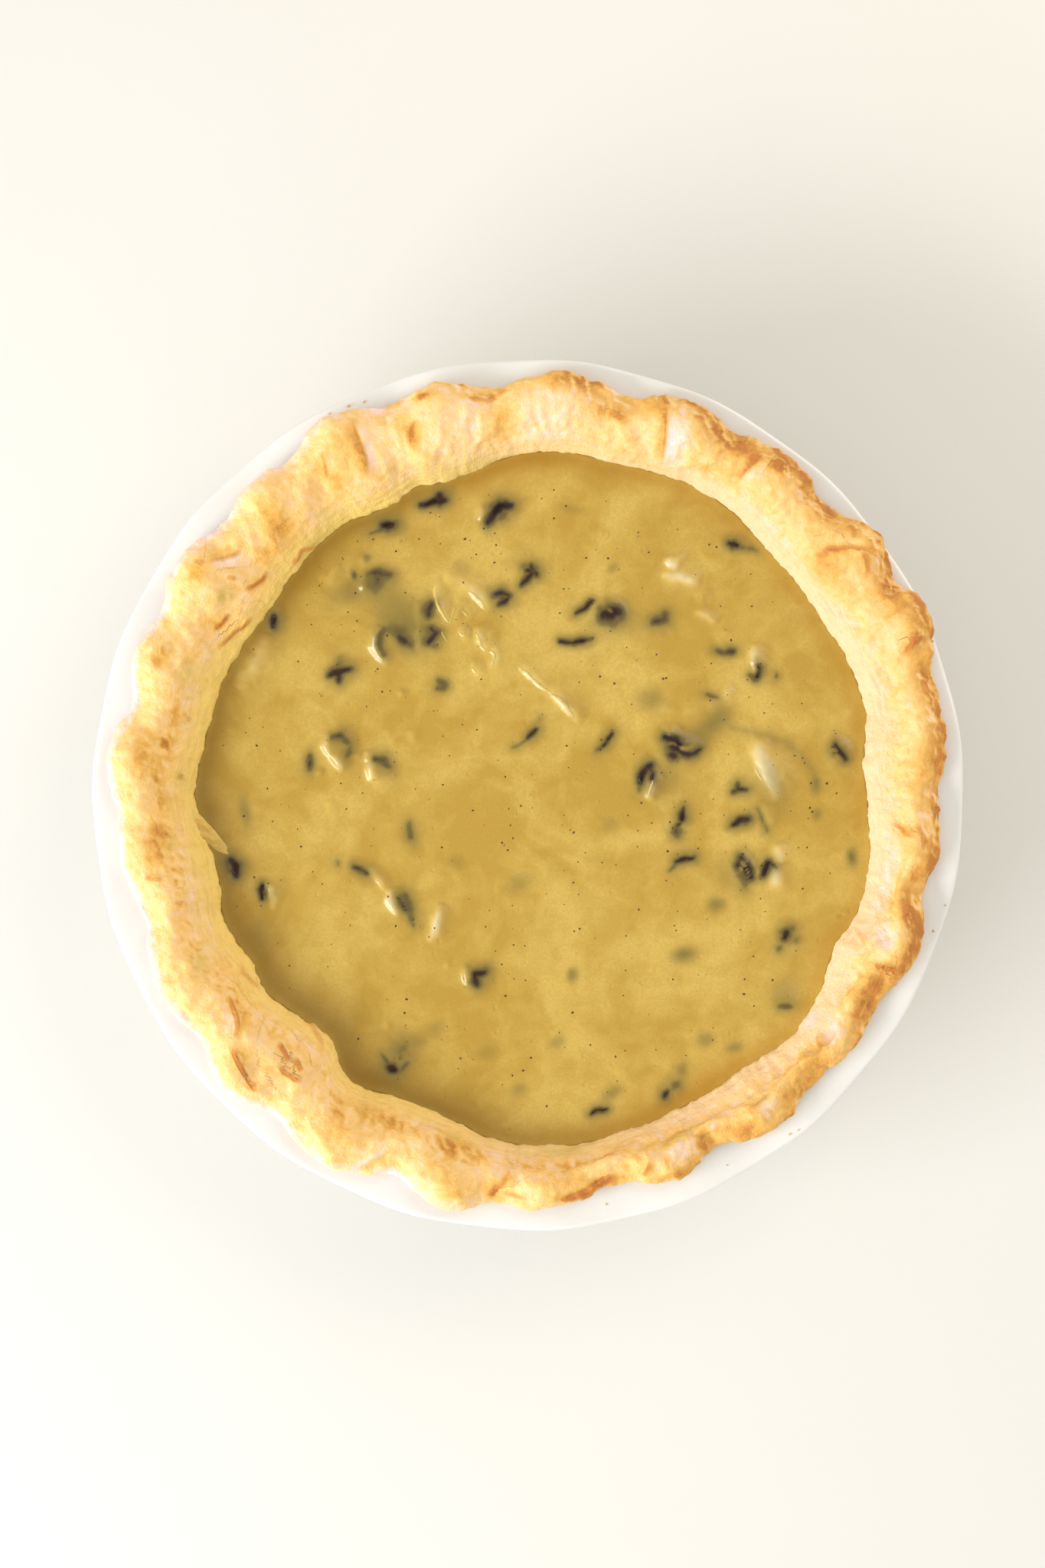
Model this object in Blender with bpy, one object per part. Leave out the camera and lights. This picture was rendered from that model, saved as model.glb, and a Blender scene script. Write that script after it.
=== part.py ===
"""Sour cream raisin pie in its white ceramic dish.

Frame: metres, +Z up, origin at the middle of the dish's underside. The pie is
seen from above with +X to the right and +Y away from the viewer, and every
clock angle below is in degrees, counter-clockwise from +X.

Pieces: the ceramic dish with its gently rippled flange, the pastry shell with
its hand-pinched rim, the custard that fills it, and the raisins that break the
custard's surface. Each is a closed solid, a small gap away from its neighbours.
"""

import math

import bmesh
import bpy
import numpy as np

MM = 0.001
GAP = 0.3 * MM  # clear space between two pieces that rest on each other

# ---------------------------------------------------------------- the dish
DISH_RADIUS = 132.0 * MM
DISH_FOOT_RADIUS = 86.0 * MM
DISH_FLOOR_TOP = 5.0 * MM
DISH_FLOOR_RADIUS = 85.5 * MM
DISH_MOUTH_RADIUS = 113.6 * MM
DISH_MOUTH_HEIGHT = 38.6 * MM
DISH_WALL = 5.0 * MM  # measured level, through the slanted wall
DISH_HEEL = 2.4 * MM  # height of the rounded heel round the foot
FLOOR_FILLET = 4.0 * MM  # reach of the hollow rounding from floor to wall
FLOOR_FILLET_RISE = 2.6 * MM
MOUTH_ROUNDING = 1.6 * MM  # reach of the rounding from the wall to the flange
MOUTH_ROUNDING_RISE = 2.0 * MM
FLANGE_INNER_RADIUS = 118.5 * MM
FLANGE_OUTER_RADIUS = 130.6 * MM
FLANGE_INNER_HEIGHT = 41.6 * MM
FLANGE_OUTER_HEIGHT = 42.4 * MM
FLANGE_THICKNESS = 3.4 * MM
FLANGE_NECK = 1.2 * MM  # rounding where the wall runs into the flange's underside
FLANGE_UNDERCUT = 1.2 * MM  # the underside ends this far inside the upper edge
# The rounded edge: how far inside the rim's radius and below the flange's top.
FLANGE_EDGE_LOW = (0.3 * MM, 2.2 * MM)
FLANGE_EDGE_HIGH = (0.0 * MM, 0.9 * MM)
RIPPLE_COUNT = 19
RIPPLE_HEIGHT = 0.9 * MM  # up and down, at the flange's edge
RIPPLE_REACH = 0.2 * MM  # in and out, at the flange's edge
RIPPLE_START = 93.0  # clock angle of one trough
DISH_COLUMNS = 120

# ---------------------------------------------------------------- the pastry
CRUST_FLOOR = 4.0 * MM
CRUST_FLOOR_RADIUS = 81.0 * MM
CRUST_COLUMNS = 144
CREST_HEIGHT = 49.6 * MM  # top of an ordinary crimp
DIP_DROP = 3.2 * MM  # how far the rim sinks between two crimps
SHOULDER_HEIGHT = 44.2 * MM  # where the inner wall turns into the rim's top
SHOULDER_FOLLOWS = 0.4  # how much of a crimp's rise and fall reaches the shoulder
CREST_INSET = 7.0 * MM  # from the outer edge in to the crest
WALL_BELLY = 1.0 * MM  # how far the inner wall bellies out below the custard
WALL_BREAK = (0.42, 0.5)  # shares of the wall's run and rise, where its slope changes
RIM_BREAK = (0.42, 0.66)  # the same for the rim's top, from shoulder to crest
RIM_NOSE = (2.6 * MM, 1.3 * MM)  # in from the edge and down from the crest
SOLE_INSET = 1.2 * MM  # the rim's underside ends this far inside its edge
SIDE_CLEARANCE = 0.4 * MM  # level, between the slanted walls of dish, pastry and custard

# Each pinched crimp: clock angle, outer radius in mm, outer radius in mm of the
# dip after it, and how much higher in mm than an ordinary crimp it stands.
CRIMPS = (
    (10, 127.2, 127.5, -0.6),
    (24, 132.0, 128.1, 0.4),
    (36, 131.4, 125.4, 0.5),
    (53, 128.4, 125.6, 0.6),
    (67, 128.1, 124.0, 0.4),
    (86, 127.5, 122.8, 0.5),
    (103.5, 127.0, 124.9, 0.2),
    (118, 128.8, 124.2, 0.6),
    (132, 125.8, 123.5, 0.3),
    (146, 126.8, 123.8, 0.4),
    (160, 126.3, 122.4, -0.2),
    (175, 127.2, 124.2, 0.2),
    (189, 124.7, 121.9, 0.1),
    (208, 125.6, 123.8, -0.4),
    (224, 127.9, 123.5, 0.2),
    (241, 127.7, 121.2, 0.7),
    (259, 127.2, 123.5, 0.6),
    (273, 124.7, 120.1, 0.1),
    (291, 124.2, 120.1, 0.5),
    (306.5, 124.5, 122.4, 0.0),
    (321, 124.2, 122.6, 0.1),
    (338, 126.8, 122.4, 0.5),
    (352, 124.2, 124.2, -0.2),
)

# The line where the pastry meets the custard bulges in and out: clock angle
# and radius in mm at each turning point.
FILLING_LINE = (
    (5, 102.4), (14, 106.2), (40, 104.1), (61, 106.6), (76, 104.5), (85, 104.7),
    (106, 98.8), (110, 99.2), (116, 97.8), (125, 99.3), (147, 97.0), (163, 99.8),
    (168, 99.2), (179, 101.4), (194, 97.8), (203, 100.0), (211, 98.6), (216, 99.8),
    (230, 95.7), (239, 102.8), (248, 100.3), (275, 107.4), (304, 105.9),
    (320, 109.0), (334, 104.5), (343, 106.8),
)  # fmt: skip

# How far the inner wall leans back, level, from the custard up to the rim's
# shoulder: clock angle and run in mm.
WALL_RUN = (
    (0, 9.0), (45, 7.0), (75, 5.0), (105, 7.0), (135, 9.0), (160, 9.0),
    (200, 10.0), (230, 6.5), (250, 6.0), (285, 4.5), (310, 6.0), (335, 8.0),
)  # fmt: skip

# ---------------------------------------------------------------- the custard
CUSTARD_LEVEL = 37.0 * MM
CUSTARD_FLAT_TOP = (0.93, 0.78, 0.55, 0.3)  # shares of the way out to its edge
# Low swells left by the spoon: x, y, spread and height, all in mm.
SWELLS = (
    (-22.0, 52.0, 11.0, 0.7),
    (5.0, 31.0, 9.0, 0.5),
    (45.0, 24.0, 12.0, 0.4),
    (66.0, -10.0, 14.0, 0.4),
    (-48.0, 14.0, 12.0, 0.3),
    (-20.0, -38.0, 16.0, -0.3),
    (20.0, -60.0, 22.0, -0.3),
)

# ---------------------------------------------------------------- the raisins
RAISIN_SIDES = 7
RAISIN_RINGS = 5
RAISIN_LUMPS = 0.07  # how uneven a raisin is, as a share of its size
RAISIN_THICKNESS = 0.72  # of its width
RAISIN_SEED = 11
POCKET_EXTRA = 2.4 * GAP  # how much larger than a raisin its pocket in the custard is
# Each raisin that shows: x, y, length, width in mm, the clock angle it points
# along, and how far in mm its top stands above the custard.
RAISINS = (
    (-28.6, 89.0, 10.5, 5.6, 30, 0.6),
    (-42.6, 81.2, 9.0, 6.4, 5, 0.6),
    (-9.1, 86.5, 13.0, 8.4, 40, 1.1),
    (0.7, 66.9, 11.5, 7.2, 50, 0.7),
    (-7.7, 60.1, 9.4, 7.4, -10, 0.9),
    (-29.9, 56.6, 7.0, 6.0, 90, 0.7),
    (-29.5, 47.9, 8.4, 7.0, 40, 0.8),
    (-76.4, 52.5, 6.6, 4.4, 80, 0.7),
    (-57.7, 37.4, 9.6, 7.2, 25, 0.9),
    (17.0, 57.4, 6.6, 4.0, 38, 0.5),
    (25.0, 55.2, 9.2, 8.0, 8, 1.3),
    (14.3, 46.8, 11.5, 5.6, 4, 0.4),
    (63.4, 76.2, 9.0, 6.2, -15, 0.6),
    (69.4, 37.2, 8.0, 6.8, 60, 0.7),
    (1.6, 18.9, 9.6, 5.6, 50, 0.4),
    (23.6, 16.6, 10.4, 5.8, 58, 0.4),
    (45.8, 14.5, 14.0, 8.6, -15, 1.5),
    (35.5, 5.8, 11.0, 7.2, 100, 1.1),
    (94.6, 13.1, 9.4, 7.4, -50, 1.2),
    (64.5, 1.9, 9.0, 7.0, 10, 0.6),
    (65.0, -8.2, 10.4, 6.2, 15, 0.6),
    (46.3, -7.9, 12.0, 6.4, 75, 0.6),
    (47.7, -19.6, 10.4, 5.6, 15, 0.4),
    (65.5, -22.2, 9.8, 6.4, -60, 1.4),
    (72.8, -22.4, 6.4, 4.8, 70, 1.0),
    (-88.6, -22.3, 7.6, 6.4, -45, 0.9),
    (-81.1, -29.9, 6.6, 5.2, 100, 0.6),
    (-51.0, -22.9, 8.6, 6.0, -25, 0.4),
    (-15.2, -55.6, 9.6, 8.4, 60, 1.0),
    (-41.4, -81.8, 10.4, 9.2, 20, 0.7),
    (43.6, -88.2, 12.0, 6.6, 55, 0.6),
    (21.3, -96.2, 9.4, 6.0, 20, 0.4),
    (78.8, -43.0, 9.6, 8.0, 70, 0.8),
)


# ---------------------------------------------------------------- helpers
def clear_scene():
    """Takes every object out of the open scene."""
    for thing in list(bpy.data.objects):
        bpy.data.objects.remove(thing, do_unlink=True)


def finish(name, colour, roughness, coat=0.0):
    """A Principled material of one colour (linear red, green and blue)."""
    material = bpy.data.materials.new(name)
    material.use_nodes = True
    shader = material.node_tree.nodes["Principled BSDF"]
    shader.inputs["Base Color"].default_value = (*colour, 1.0)
    shader.inputs["Roughness"].default_value = roughness
    shader.inputs["Metallic"].default_value = 0.0
    shader.inputs["Coat Weight"].default_value = coat
    return material


def make_object(name, points, faces, material):
    """An object of the given points and faces, shaded smooth, in the scene."""
    mesh = bpy.data.meshes.new(name)
    mesh.from_pydata([tuple(point) for point in points], [], faces)
    mesh.validate()
    mesh.materials.append(material)
    mesh.shade_smooth()
    thing = bpy.data.objects.new(name, mesh)
    bpy.context.scene.collection.objects.link(thing)
    return thing


def eased(rows, degrees):
    """The rows' value at each clock angle, eased by half a cosine wave between
    one row (angle, value) and the next, all the way round."""
    angles, values = np.array(rows, float).T
    angles = np.concatenate((angles[-1:] - 360.0, angles, angles[:1] + 360.0))
    values = np.concatenate((values[-1:], values, values[:1]))
    before = np.searchsorted(angles, degrees, side="right") - 1
    share = (degrees - angles[before]) / (angles[before + 1] - angles[before])
    share = (1.0 - np.cos(np.pi * share)) / 2.0
    return values[before] * (1.0 - share) + values[before + 1] * share


def clock(columns):
    """The clock angles of a ring's columns, in degrees."""
    return np.arange(columns) * 360.0 / columns


def ring(degrees, radius, height):
    """Points round the axis at the given radius and height."""
    turn = np.radians(degrees)
    radius = np.broadcast_to(radius, turn.shape)
    height = np.broadcast_to(height, turn.shape)
    return np.column_stack((radius * np.cos(turn), radius * np.sin(turn), height))


def turned_solid(name, first, rings, last, material):
    """A closed solid of rings joined one after another, with a point on the
    axis at each end. The rings run so that the outside is on the left when
    the profile is followed from first to last with +X to the right."""
    columns = len(rings[0])
    points = [first, *np.concatenate(rings), last]
    faces = []
    for column in range(columns):
        after = (column + 1) % columns
        faces.append((0, 1 + column, 1 + after))
        for row in range(len(rings) - 1):
            low, high = 1 + row * columns, 1 + (row + 1) * columns
            faces.append((low + column, high + column, high + after, low + after))
        last_ring = 1 + (len(rings) - 1) * columns
        faces.append((len(points) - 1, last_ring + after, last_ring + column))
    return make_object(name, points, faces, material)


def face_outwards(thing):
    """Turns every face of a closed mesh outwards."""
    work = bmesh.new()
    work.from_mesh(thing.data)
    bmesh.ops.triangulate(work, faces=work.faces)
    bmesh.ops.recalc_face_normals(work, faces=work.faces)
    work.to_mesh(thing.data)
    work.free()


# ---------------------------------------------------------------- the dish
def ripple(degrees):
    """The rim's wave round the dish: -1 in a trough, +1 on a crest."""
    return -np.cos(np.radians(RIPPLE_COUNT * (degrees - RIPPLE_START)))


def flange_top(degrees, radius):
    """Height of the flange's upper face, whose ripple grows outwards."""
    share = (radius - FLANGE_INNER_RADIUS) / (FLANGE_OUTER_RADIUS - FLANGE_INNER_RADIUS)
    rise = (FLANGE_OUTER_HEIGHT - FLANGE_INNER_HEIGHT) * share
    return FLANGE_INNER_HEIGHT + rise + RIPPLE_HEIGHT * share * ripple(degrees)


def make_dish(material):
    """The dish: foot, slanted wall, rippled flange, and the inside back down."""
    degrees = clock(DISH_COLUMNS)
    edge_radius = DISH_RADIUS + RIPPLE_REACH * ripple(degrees)
    outer_top = flange_top(degrees, FLANGE_OUTER_RADIUS)
    heel_radius = DISH_FLOOR_RADIUS + DISH_WALL
    neck_radius = DISH_MOUTH_RADIUS + DISH_WALL - FLANGE_NECK
    neck_height = FLANGE_INNER_HEIGHT - FLANGE_THICKNESS - FLANGE_NECK
    fillet_radius = DISH_MOUTH_RADIUS + MOUTH_ROUNDING
    rings = [
        ring(degrees, DISH_FOOT_RADIUS, 0.0),
        ring(degrees, heel_radius, DISH_HEEL),
        ring(degrees, neck_radius, neck_height),
        ring(degrees, FLANGE_OUTER_RADIUS - FLANGE_UNDERCUT, outer_top - FLANGE_THICKNESS),
        ring(degrees, edge_radius - FLANGE_EDGE_LOW[0], outer_top - FLANGE_EDGE_LOW[1]),
        ring(degrees, edge_radius - FLANGE_EDGE_HIGH[0], outer_top - FLANGE_EDGE_HIGH[1]),
        ring(degrees, FLANGE_OUTER_RADIUS, outer_top),
        ring(degrees, FLANGE_INNER_RADIUS, FLANGE_INNER_HEIGHT),
        ring(degrees, fillet_radius, DISH_MOUTH_HEIGHT + MOUTH_ROUNDING_RISE),
        ring(degrees, DISH_MOUTH_RADIUS, DISH_MOUTH_HEIGHT),
        ring(degrees, DISH_FLOOR_RADIUS + FLOOR_FILLET, DISH_FLOOR_TOP + FLOOR_FILLET_RISE),
        ring(degrees, DISH_FLOOR_RADIUS, DISH_FLOOR_TOP),
    ]
    dish = turned_solid("pie_dish", (0, 0, 0), rings, (0, 0, DISH_FLOOR_TOP), material)
    face_outwards(dish)


# ---------------------------------------------------------------- the pastry
def crimp_rows():
    """Turning points of the rim: crimps, and the dips halfway between them, as
    (angle, outer radius in mm, height above an ordinary crimp in mm)."""
    rows = []
    for number, (angle, crest, dip, lift) in enumerate(CRIMPS):
        after_angle = CRIMPS[(number + 1) % len(CRIMPS)][0]
        half_way = (after_angle - angle) % 360 / 2
        rows.append((angle, crest, lift))
        rows.append((angle + half_way, dip, lift - DIP_DROP / MM))
    rows.sort(key=lambda row: row[0] % 360)
    return [(angle % 360, radius, lift) for angle, radius, lift in rows]


def rim_radius(degrees):
    """The pastry's outer edge, scalloped by the crimps."""
    return eased([(row[0], row[1]) for row in crimp_rows()], degrees) * MM


def rim_height(degrees):
    """Height of the rim's crest line, high on a crimp and low in a dip."""
    return CREST_HEIGHT + eased([(row[0], row[2]) for row in crimp_rows()], degrees) * MM


def custard_radius(degrees):
    """Where the pastry's inner wall meets the custard."""
    return eased(FILLING_LINE, degrees) * MM


def wall_middle_radius(degrees):
    """The inner wall halfway down to the pastry's floor."""
    return (CRUST_FLOOR_RADIUS + custard_radius(degrees)) / 2.0 + WALL_BELLY


CRUST_UNDERSIDE = DISH_FLOOR_TOP + GAP
CRUST_FLOOR_TOP = CRUST_UNDERSIDE + CRUST_FLOOR
WALL_MIDDLE_HEIGHT = (CRUST_FLOOR_TOP + CUSTARD_LEVEL) / 2.0


def make_crust(material):
    """The pastry shell, followed from its floor up the inner wall, over the
    crimped rim, and down outside against the dish."""
    degrees = clock(CRUST_COLUMNS)
    inner = custard_radius(degrees)
    outer = rim_radius(degrees)
    crest = rim_height(degrees)
    shoulder = inner + eased(WALL_RUN, degrees) * MM
    shoulder_height = SHOULDER_HEIGHT + SHOULDER_FOLLOWS * (crest - CREST_HEIGHT)
    ridge = outer - CREST_INSET
    wall_bend = inner + WALL_BREAK[0] * (shoulder - inner)
    wall_bend_height = CUSTARD_LEVEL + WALL_BREAK[1] * (shoulder_height - CUSTARD_LEVEL)
    rim_bend = shoulder + RIM_BREAK[0] * (ridge - shoulder)
    rim_bend_height = shoulder_height + RIM_BREAK[1] * (crest - shoulder_height)
    sole = outer - SOLE_INSET
    throat = DISH_MOUTH_RADIUS - SIDE_CLEARANCE
    throat_bend_height = DISH_MOUTH_HEIGHT + MOUTH_ROUNDING_RISE + SIDE_CLEARANCE
    heel = DISH_FLOOR_RADIUS + FLOOR_FILLET - SIDE_CLEARANCE
    rings = [
        ring(degrees, CRUST_FLOOR_RADIUS, CRUST_FLOOR_TOP),
        ring(degrees, wall_middle_radius(degrees), WALL_MIDDLE_HEIGHT),
        ring(degrees, inner, CUSTARD_LEVEL),
        ring(degrees, wall_bend, wall_bend_height),
        ring(degrees, shoulder, shoulder_height),
        ring(degrees, rim_bend, rim_bend_height),
        ring(degrees, ridge, crest),
        ring(degrees, outer - RIM_NOSE[0], crest - RIM_NOSE[1]),
        ring(degrees, outer, (crest + flange_top(degrees, outer)) / 2.0),
        ring(degrees, sole, flange_top(degrees, sole) + GAP),
        ring(degrees, FLANGE_INNER_RADIUS, FLANGE_INNER_HEIGHT + GAP),
        ring(degrees, throat + MOUTH_ROUNDING, throat_bend_height),
        ring(degrees, throat, DISH_MOUTH_HEIGHT),
        ring(degrees, heel, DISH_FLOOR_TOP + FLOOR_FILLET_RISE + GAP),
        ring(degrees, DISH_FLOOR_RADIUS - SIDE_CLEARANCE, CRUST_UNDERSIDE),
    ]
    crust = turned_solid(
        "crust", (0, 0, CRUST_FLOOR_TOP), rings, (0, 0, CRUST_UNDERSIDE), material
    )
    face_outwards(crust)


# ---------------------------------------------------------------- the custard
def swell(points):
    """Height of the spoon's swells at each point, fading out at the edge."""
    x, y = points[:, 0], points[:, 1]
    height = np.zeros(len(points))
    for middle_x, middle_y, spread, lift in SWELLS:
        away = np.hypot(x - middle_x * MM, y - middle_y * MM) / (spread * MM)
        height += lift * MM * np.exp(-(away**2))
    return height


def make_filling(material, cutters):
    """The custard: it fills the shell up to its level, with a pocket round
    each raisin that shows."""
    degrees = clock(CRUST_COLUMNS)
    edge = custard_radius(degrees) - SIDE_CLEARANCE
    rings = [
        ring(degrees, CRUST_FLOOR_RADIUS - SIDE_CLEARANCE, CRUST_FLOOR_TOP + SIDE_CLEARANCE),
        ring(degrees, wall_middle_radius(degrees) - SIDE_CLEARANCE, WALL_MIDDLE_HEIGHT),
        ring(degrees, edge, CUSTARD_LEVEL),
    ]
    for share in CUSTARD_FLAT_TOP:
        level = ring(degrees, edge * share, CUSTARD_LEVEL)
        level[:, 2] += swell(level)
        rings.append(level)
    bottom = (0, 0, CRUST_FLOOR_TOP + SIDE_CLEARANCE)
    top = (0, 0, CUSTARD_LEVEL)
    filling = turned_solid("filling", bottom, rings, top, material)
    face_outwards(filling)
    cut = filling.modifiers.new("raisin_pockets", "BOOLEAN")
    cut.operation = "DIFFERENCE"
    cut.solver = "EXACT"
    cut.object = cutters


# ---------------------------------------------------------------- the raisins
def raisin_shape(length, width, thickness, lumps):
    """Points of one raisin about its own middle: an ellipsoid whose radius is
    uneven by the given lumps, one for each point."""
    tilt = np.linspace(0.0, np.pi, RAISIN_RINGS + 1)[1:-1]
    turn = np.arange(RAISIN_SIDES) * 2.0 * np.pi / RAISIN_SIDES
    tilt, turn = np.meshgrid(tilt, turn, indexing="ij")
    body = np.column_stack(
        (
            (np.sin(tilt) * np.cos(turn)).ravel(),
            (np.sin(tilt) * np.sin(turn)).ravel(),
            np.cos(tilt).ravel(),
        )
    )
    unit = np.vstack(((0.0, 0.0, 1.0), body, (0.0, 0.0, -1.0)))
    halves = np.array((length, width, thickness)) / 2.0
    return unit * halves * (1.0 + RAISIN_LUMPS * lumps[:, None])


def raisin_faces():
    """Faces over the points of raisin_shape, numbered from its top pole."""
    rings = RAISIN_RINGS - 1
    last = 1 + rings * RAISIN_SIDES
    faces = []
    for side in range(RAISIN_SIDES):
        after = (side + 1) % RAISIN_SIDES
        faces.append((0, 1 + side, 1 + after))
        for row in range(rings - 1):
            high, low = 1 + row * RAISIN_SIDES, 1 + (row + 1) * RAISIN_SIDES
            faces.append((high + side, low + side, low + after, high + after))
        bottom = 1 + (rings - 1) * RAISIN_SIDES
        faces.append((last, bottom + after, bottom + side))
    return faces


def placed(points, x, y, height, degrees):
    """Points turned about +Z to a clock angle and moved to their place."""
    turn = math.radians(degrees)
    along = np.array((math.cos(turn), math.sin(turn), 0.0))
    across = np.array((-math.sin(turn), math.cos(turn), 0.0))
    flat = points[:, :1] * along + points[:, 1:2] * across
    return flat + np.array((x, y, height)) + points[:, 2:3] * np.array((0.0, 0.0, 1.0))


def make_raisins(material):
    """The raisins, and one joined cutter that is a gap larger all round."""
    draw = np.random.default_rng(RAISIN_SEED)
    faces = raisin_faces()
    cut_points, cut_faces = [], []
    for number, (x, y, length, width, degrees, rise) in enumerate(RAISINS, 1):
        count = 2 + (RAISIN_RINGS - 1) * RAISIN_SIDES
        lumps = draw.uniform(-1.0, 1.0, count)
        size = np.array((length, width, RAISIN_THICKNESS * width)) * MM
        middle = CUSTARD_LEVEL + rise * MM - size[2] / 2.0
        place = (x * MM, y * MM, middle, degrees)
        body = placed(raisin_shape(*size, lumps), *place)
        face_outwards(make_object(f"raisin_{number:02d}", body, faces, material))
        pocket = placed(raisin_shape(*(size + POCKET_EXTRA), lumps), *place)
        start = sum(len(points) for points in cut_points)
        cut_points.append(pocket)
        cut_faces += [tuple(start + corner for corner in face) for face in faces]
    cutters = make_object("raisin_cutters", np.concatenate(cut_points), cut_faces, material)
    face_outwards(cutters)
    cutters.hide_render = True
    cutters.display_type = "WIRE"
    return cutters


def main():
    clear_scene()
    glazed = finish("white_glazed_ceramic", (0.84, 0.83, 0.80), 0.12, coat=0.5)
    baked = finish("baked_pastry", (0.76, 0.50, 0.22), 0.62)
    custard = finish("sour_cream_custard", (0.62, 0.42, 0.09), 0.3, coat=0.2)
    fruit = finish("dark_raisin", (0.035, 0.014, 0.018), 0.34)
    make_dish(glazed)
    make_crust(baked)
    cutters = make_raisins(fruit)
    make_filling(custard, cutters)


main()
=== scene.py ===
# %% [markdown]
# # A sour cream raisin pie in its white dish
#
# This lesson dresses a plain model of a pie. The plain model already has every
# piece at its real size: the dish, the pastry shell, the custard and the raisins.
# Here each of them gets the fine surface and the finish that the eye expects.
#
# The frame is in metres with +Z up, and its origin is the middle of the dish's
# underside. +X is right and +Y is up in the view from above. Places on the pie are
# given as a clock angle, in degrees counter-clockwise from +X, and a radius in mm.

# %% Load the plain model
import math

import bpy
import numpy as np
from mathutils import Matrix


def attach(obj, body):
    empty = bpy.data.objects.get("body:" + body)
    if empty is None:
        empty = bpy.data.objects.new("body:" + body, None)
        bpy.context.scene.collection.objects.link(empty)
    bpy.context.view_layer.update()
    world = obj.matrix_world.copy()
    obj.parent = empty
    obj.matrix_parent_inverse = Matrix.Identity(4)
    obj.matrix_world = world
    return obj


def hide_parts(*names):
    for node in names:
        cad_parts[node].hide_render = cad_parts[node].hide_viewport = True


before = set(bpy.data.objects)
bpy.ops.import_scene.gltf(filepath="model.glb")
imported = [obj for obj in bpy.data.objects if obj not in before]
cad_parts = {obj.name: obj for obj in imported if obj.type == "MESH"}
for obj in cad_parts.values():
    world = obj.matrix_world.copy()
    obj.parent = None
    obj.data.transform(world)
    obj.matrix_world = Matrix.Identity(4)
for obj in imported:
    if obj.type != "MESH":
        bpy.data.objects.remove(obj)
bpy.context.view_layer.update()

MM = 0.001

# %% [markdown]
# ## Colours and nodes
#
# A colour picked from a screen is an sRGB hex value. Blender's shaders mix
# light, so they need linear values, and one function does the change. Another small
# function adds one shader node with its settings and plugs its inputs in, so that a
# material reads as a short list. A node that is plugged in whole gives its first
# output.


# %% Colour and node helpers
def linear(hex_colour):
    """Red, green, blue and alpha as linear light. Each sRGB value c becomes
    ((c + 0.055) / 1.055) to the power 2.4, or c / 12.92 in the darkest part."""
    channels = [int(hex_colour[i : i + 2], 16) / 255 for i in (1, 3, 5)]
    light = [c / 12.92 if c <= 0.04045 else ((c + 0.055) / 1.055) ** 2.4 for c in channels]
    return (*light, 1.0)


def plug(tree, node, inputs):
    """Sets a node's sockets, by name or number, to values or to links: from another
    node's socket, or from a whole node's first socket that is in use."""
    for name, value in inputs.items():
        if isinstance(value, bpy.types.Node):
            value = next(socket for socket in value.outputs if socket.enabled)
        if isinstance(value, bpy.types.NodeSocket):
            tree.links.new(value, node.inputs[name])
        else:
            node.inputs[name].default_value = value


def add_node(tree, kind, inputs=None, **settings):
    """A shader node of the given kind, with its settings made and its sockets set."""
    made = tree.nodes.new("ShaderNode" + kind)
    for name, value in settings.items():
        setattr(made, name, value)
    plug(tree, made, inputs or {})
    return made


def new_material(name):
    """A material with an empty node tree, but for its output and its shader."""
    material = bpy.data.materials.new(name)
    material.use_nodes = True
    tree = material.node_tree
    return material, tree, tree.nodes["Principled BSDF"]


def per_mm(size):
    """The scale that gives a pattern on Object coordinates features of size mm."""
    return 1.0 / (size * MM)


print("Cream pastry, #FBDDA4, is", [round(c, 3) for c in linear("#FBDDA4")[:3]], "in linear light.")

# %% [markdown]
# ## Camera, light and table
#
# The picture is taken from straight above. A lens of 50 mm stands 0.66 m over the
# dish's rim, a hair off the pie's middle. A window's light comes low from the left:
# it shades the custard beside the left wall and brightens the crimps there. White
# walls all round send back a soft fill light.

# %% Camera, light and table
CAMERA_PLACE = (-1.74 * MM, 3.25 * MM, 702.0 * MM)
LENS, SENSOR = 50.0, 36.0  # mm
ABOVE_RIM = 0.66  # m
FILL_STRENGTH = 0.77
LIGHTS = (
    # name, clock angle, degrees from the zenith, distance, height and width in
    # metres, power in watts and colour
    ("window", 210.0, 67.0, 1.5, 0.36, 1.2, 27.0, "#FFFFFF"),
    ("reflector", 42.0, 58.0, 1.3, 1.0, 1.0, 7.5, "#FFF0DA"),
)

scene = bpy.context.scene
scene.view_settings.view_transform = "Standard"
camera = bpy.data.objects.new("camera", bpy.data.cameras.new("camera"))
camera.data.lens = LENS
camera.data.sensor_width = SENSOR
camera.location = CAMERA_PLACE
scene.collection.objects.link(camera)
scene.camera = camera

for name, clock_angle, from_zenith, distance, tall, wide, power, colour in LIGHTS:
    lamp = bpy.data.objects.new(name, bpy.data.lights.new(name, "AREA"))
    lamp.data.shape = "RECTANGLE"
    lamp.data.size, lamp.data.size_y = tall, wide
    lamp.data.energy = power
    lamp.data.color = linear(colour)[:3]
    zenith, turn = math.radians(from_zenith), math.radians(clock_angle)
    lamp.location = [
        distance * math.sin(zenith) * math.cos(turn),
        distance * math.sin(zenith) * math.sin(turn),
        distance * math.cos(zenith),
    ]
    lamp.rotation_euler = (0.0, zenith, turn)
    scene.collection.objects.link(lamp)

room = bpy.data.worlds.new("white_room")
room.use_nodes = True
room.node_tree.nodes["Background"].inputs["Color"].default_value = linear("#FFFEFA")
room.node_tree.nodes["Background"].inputs["Strength"].default_value = FILL_STRENGTH
scene.world = room

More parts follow.
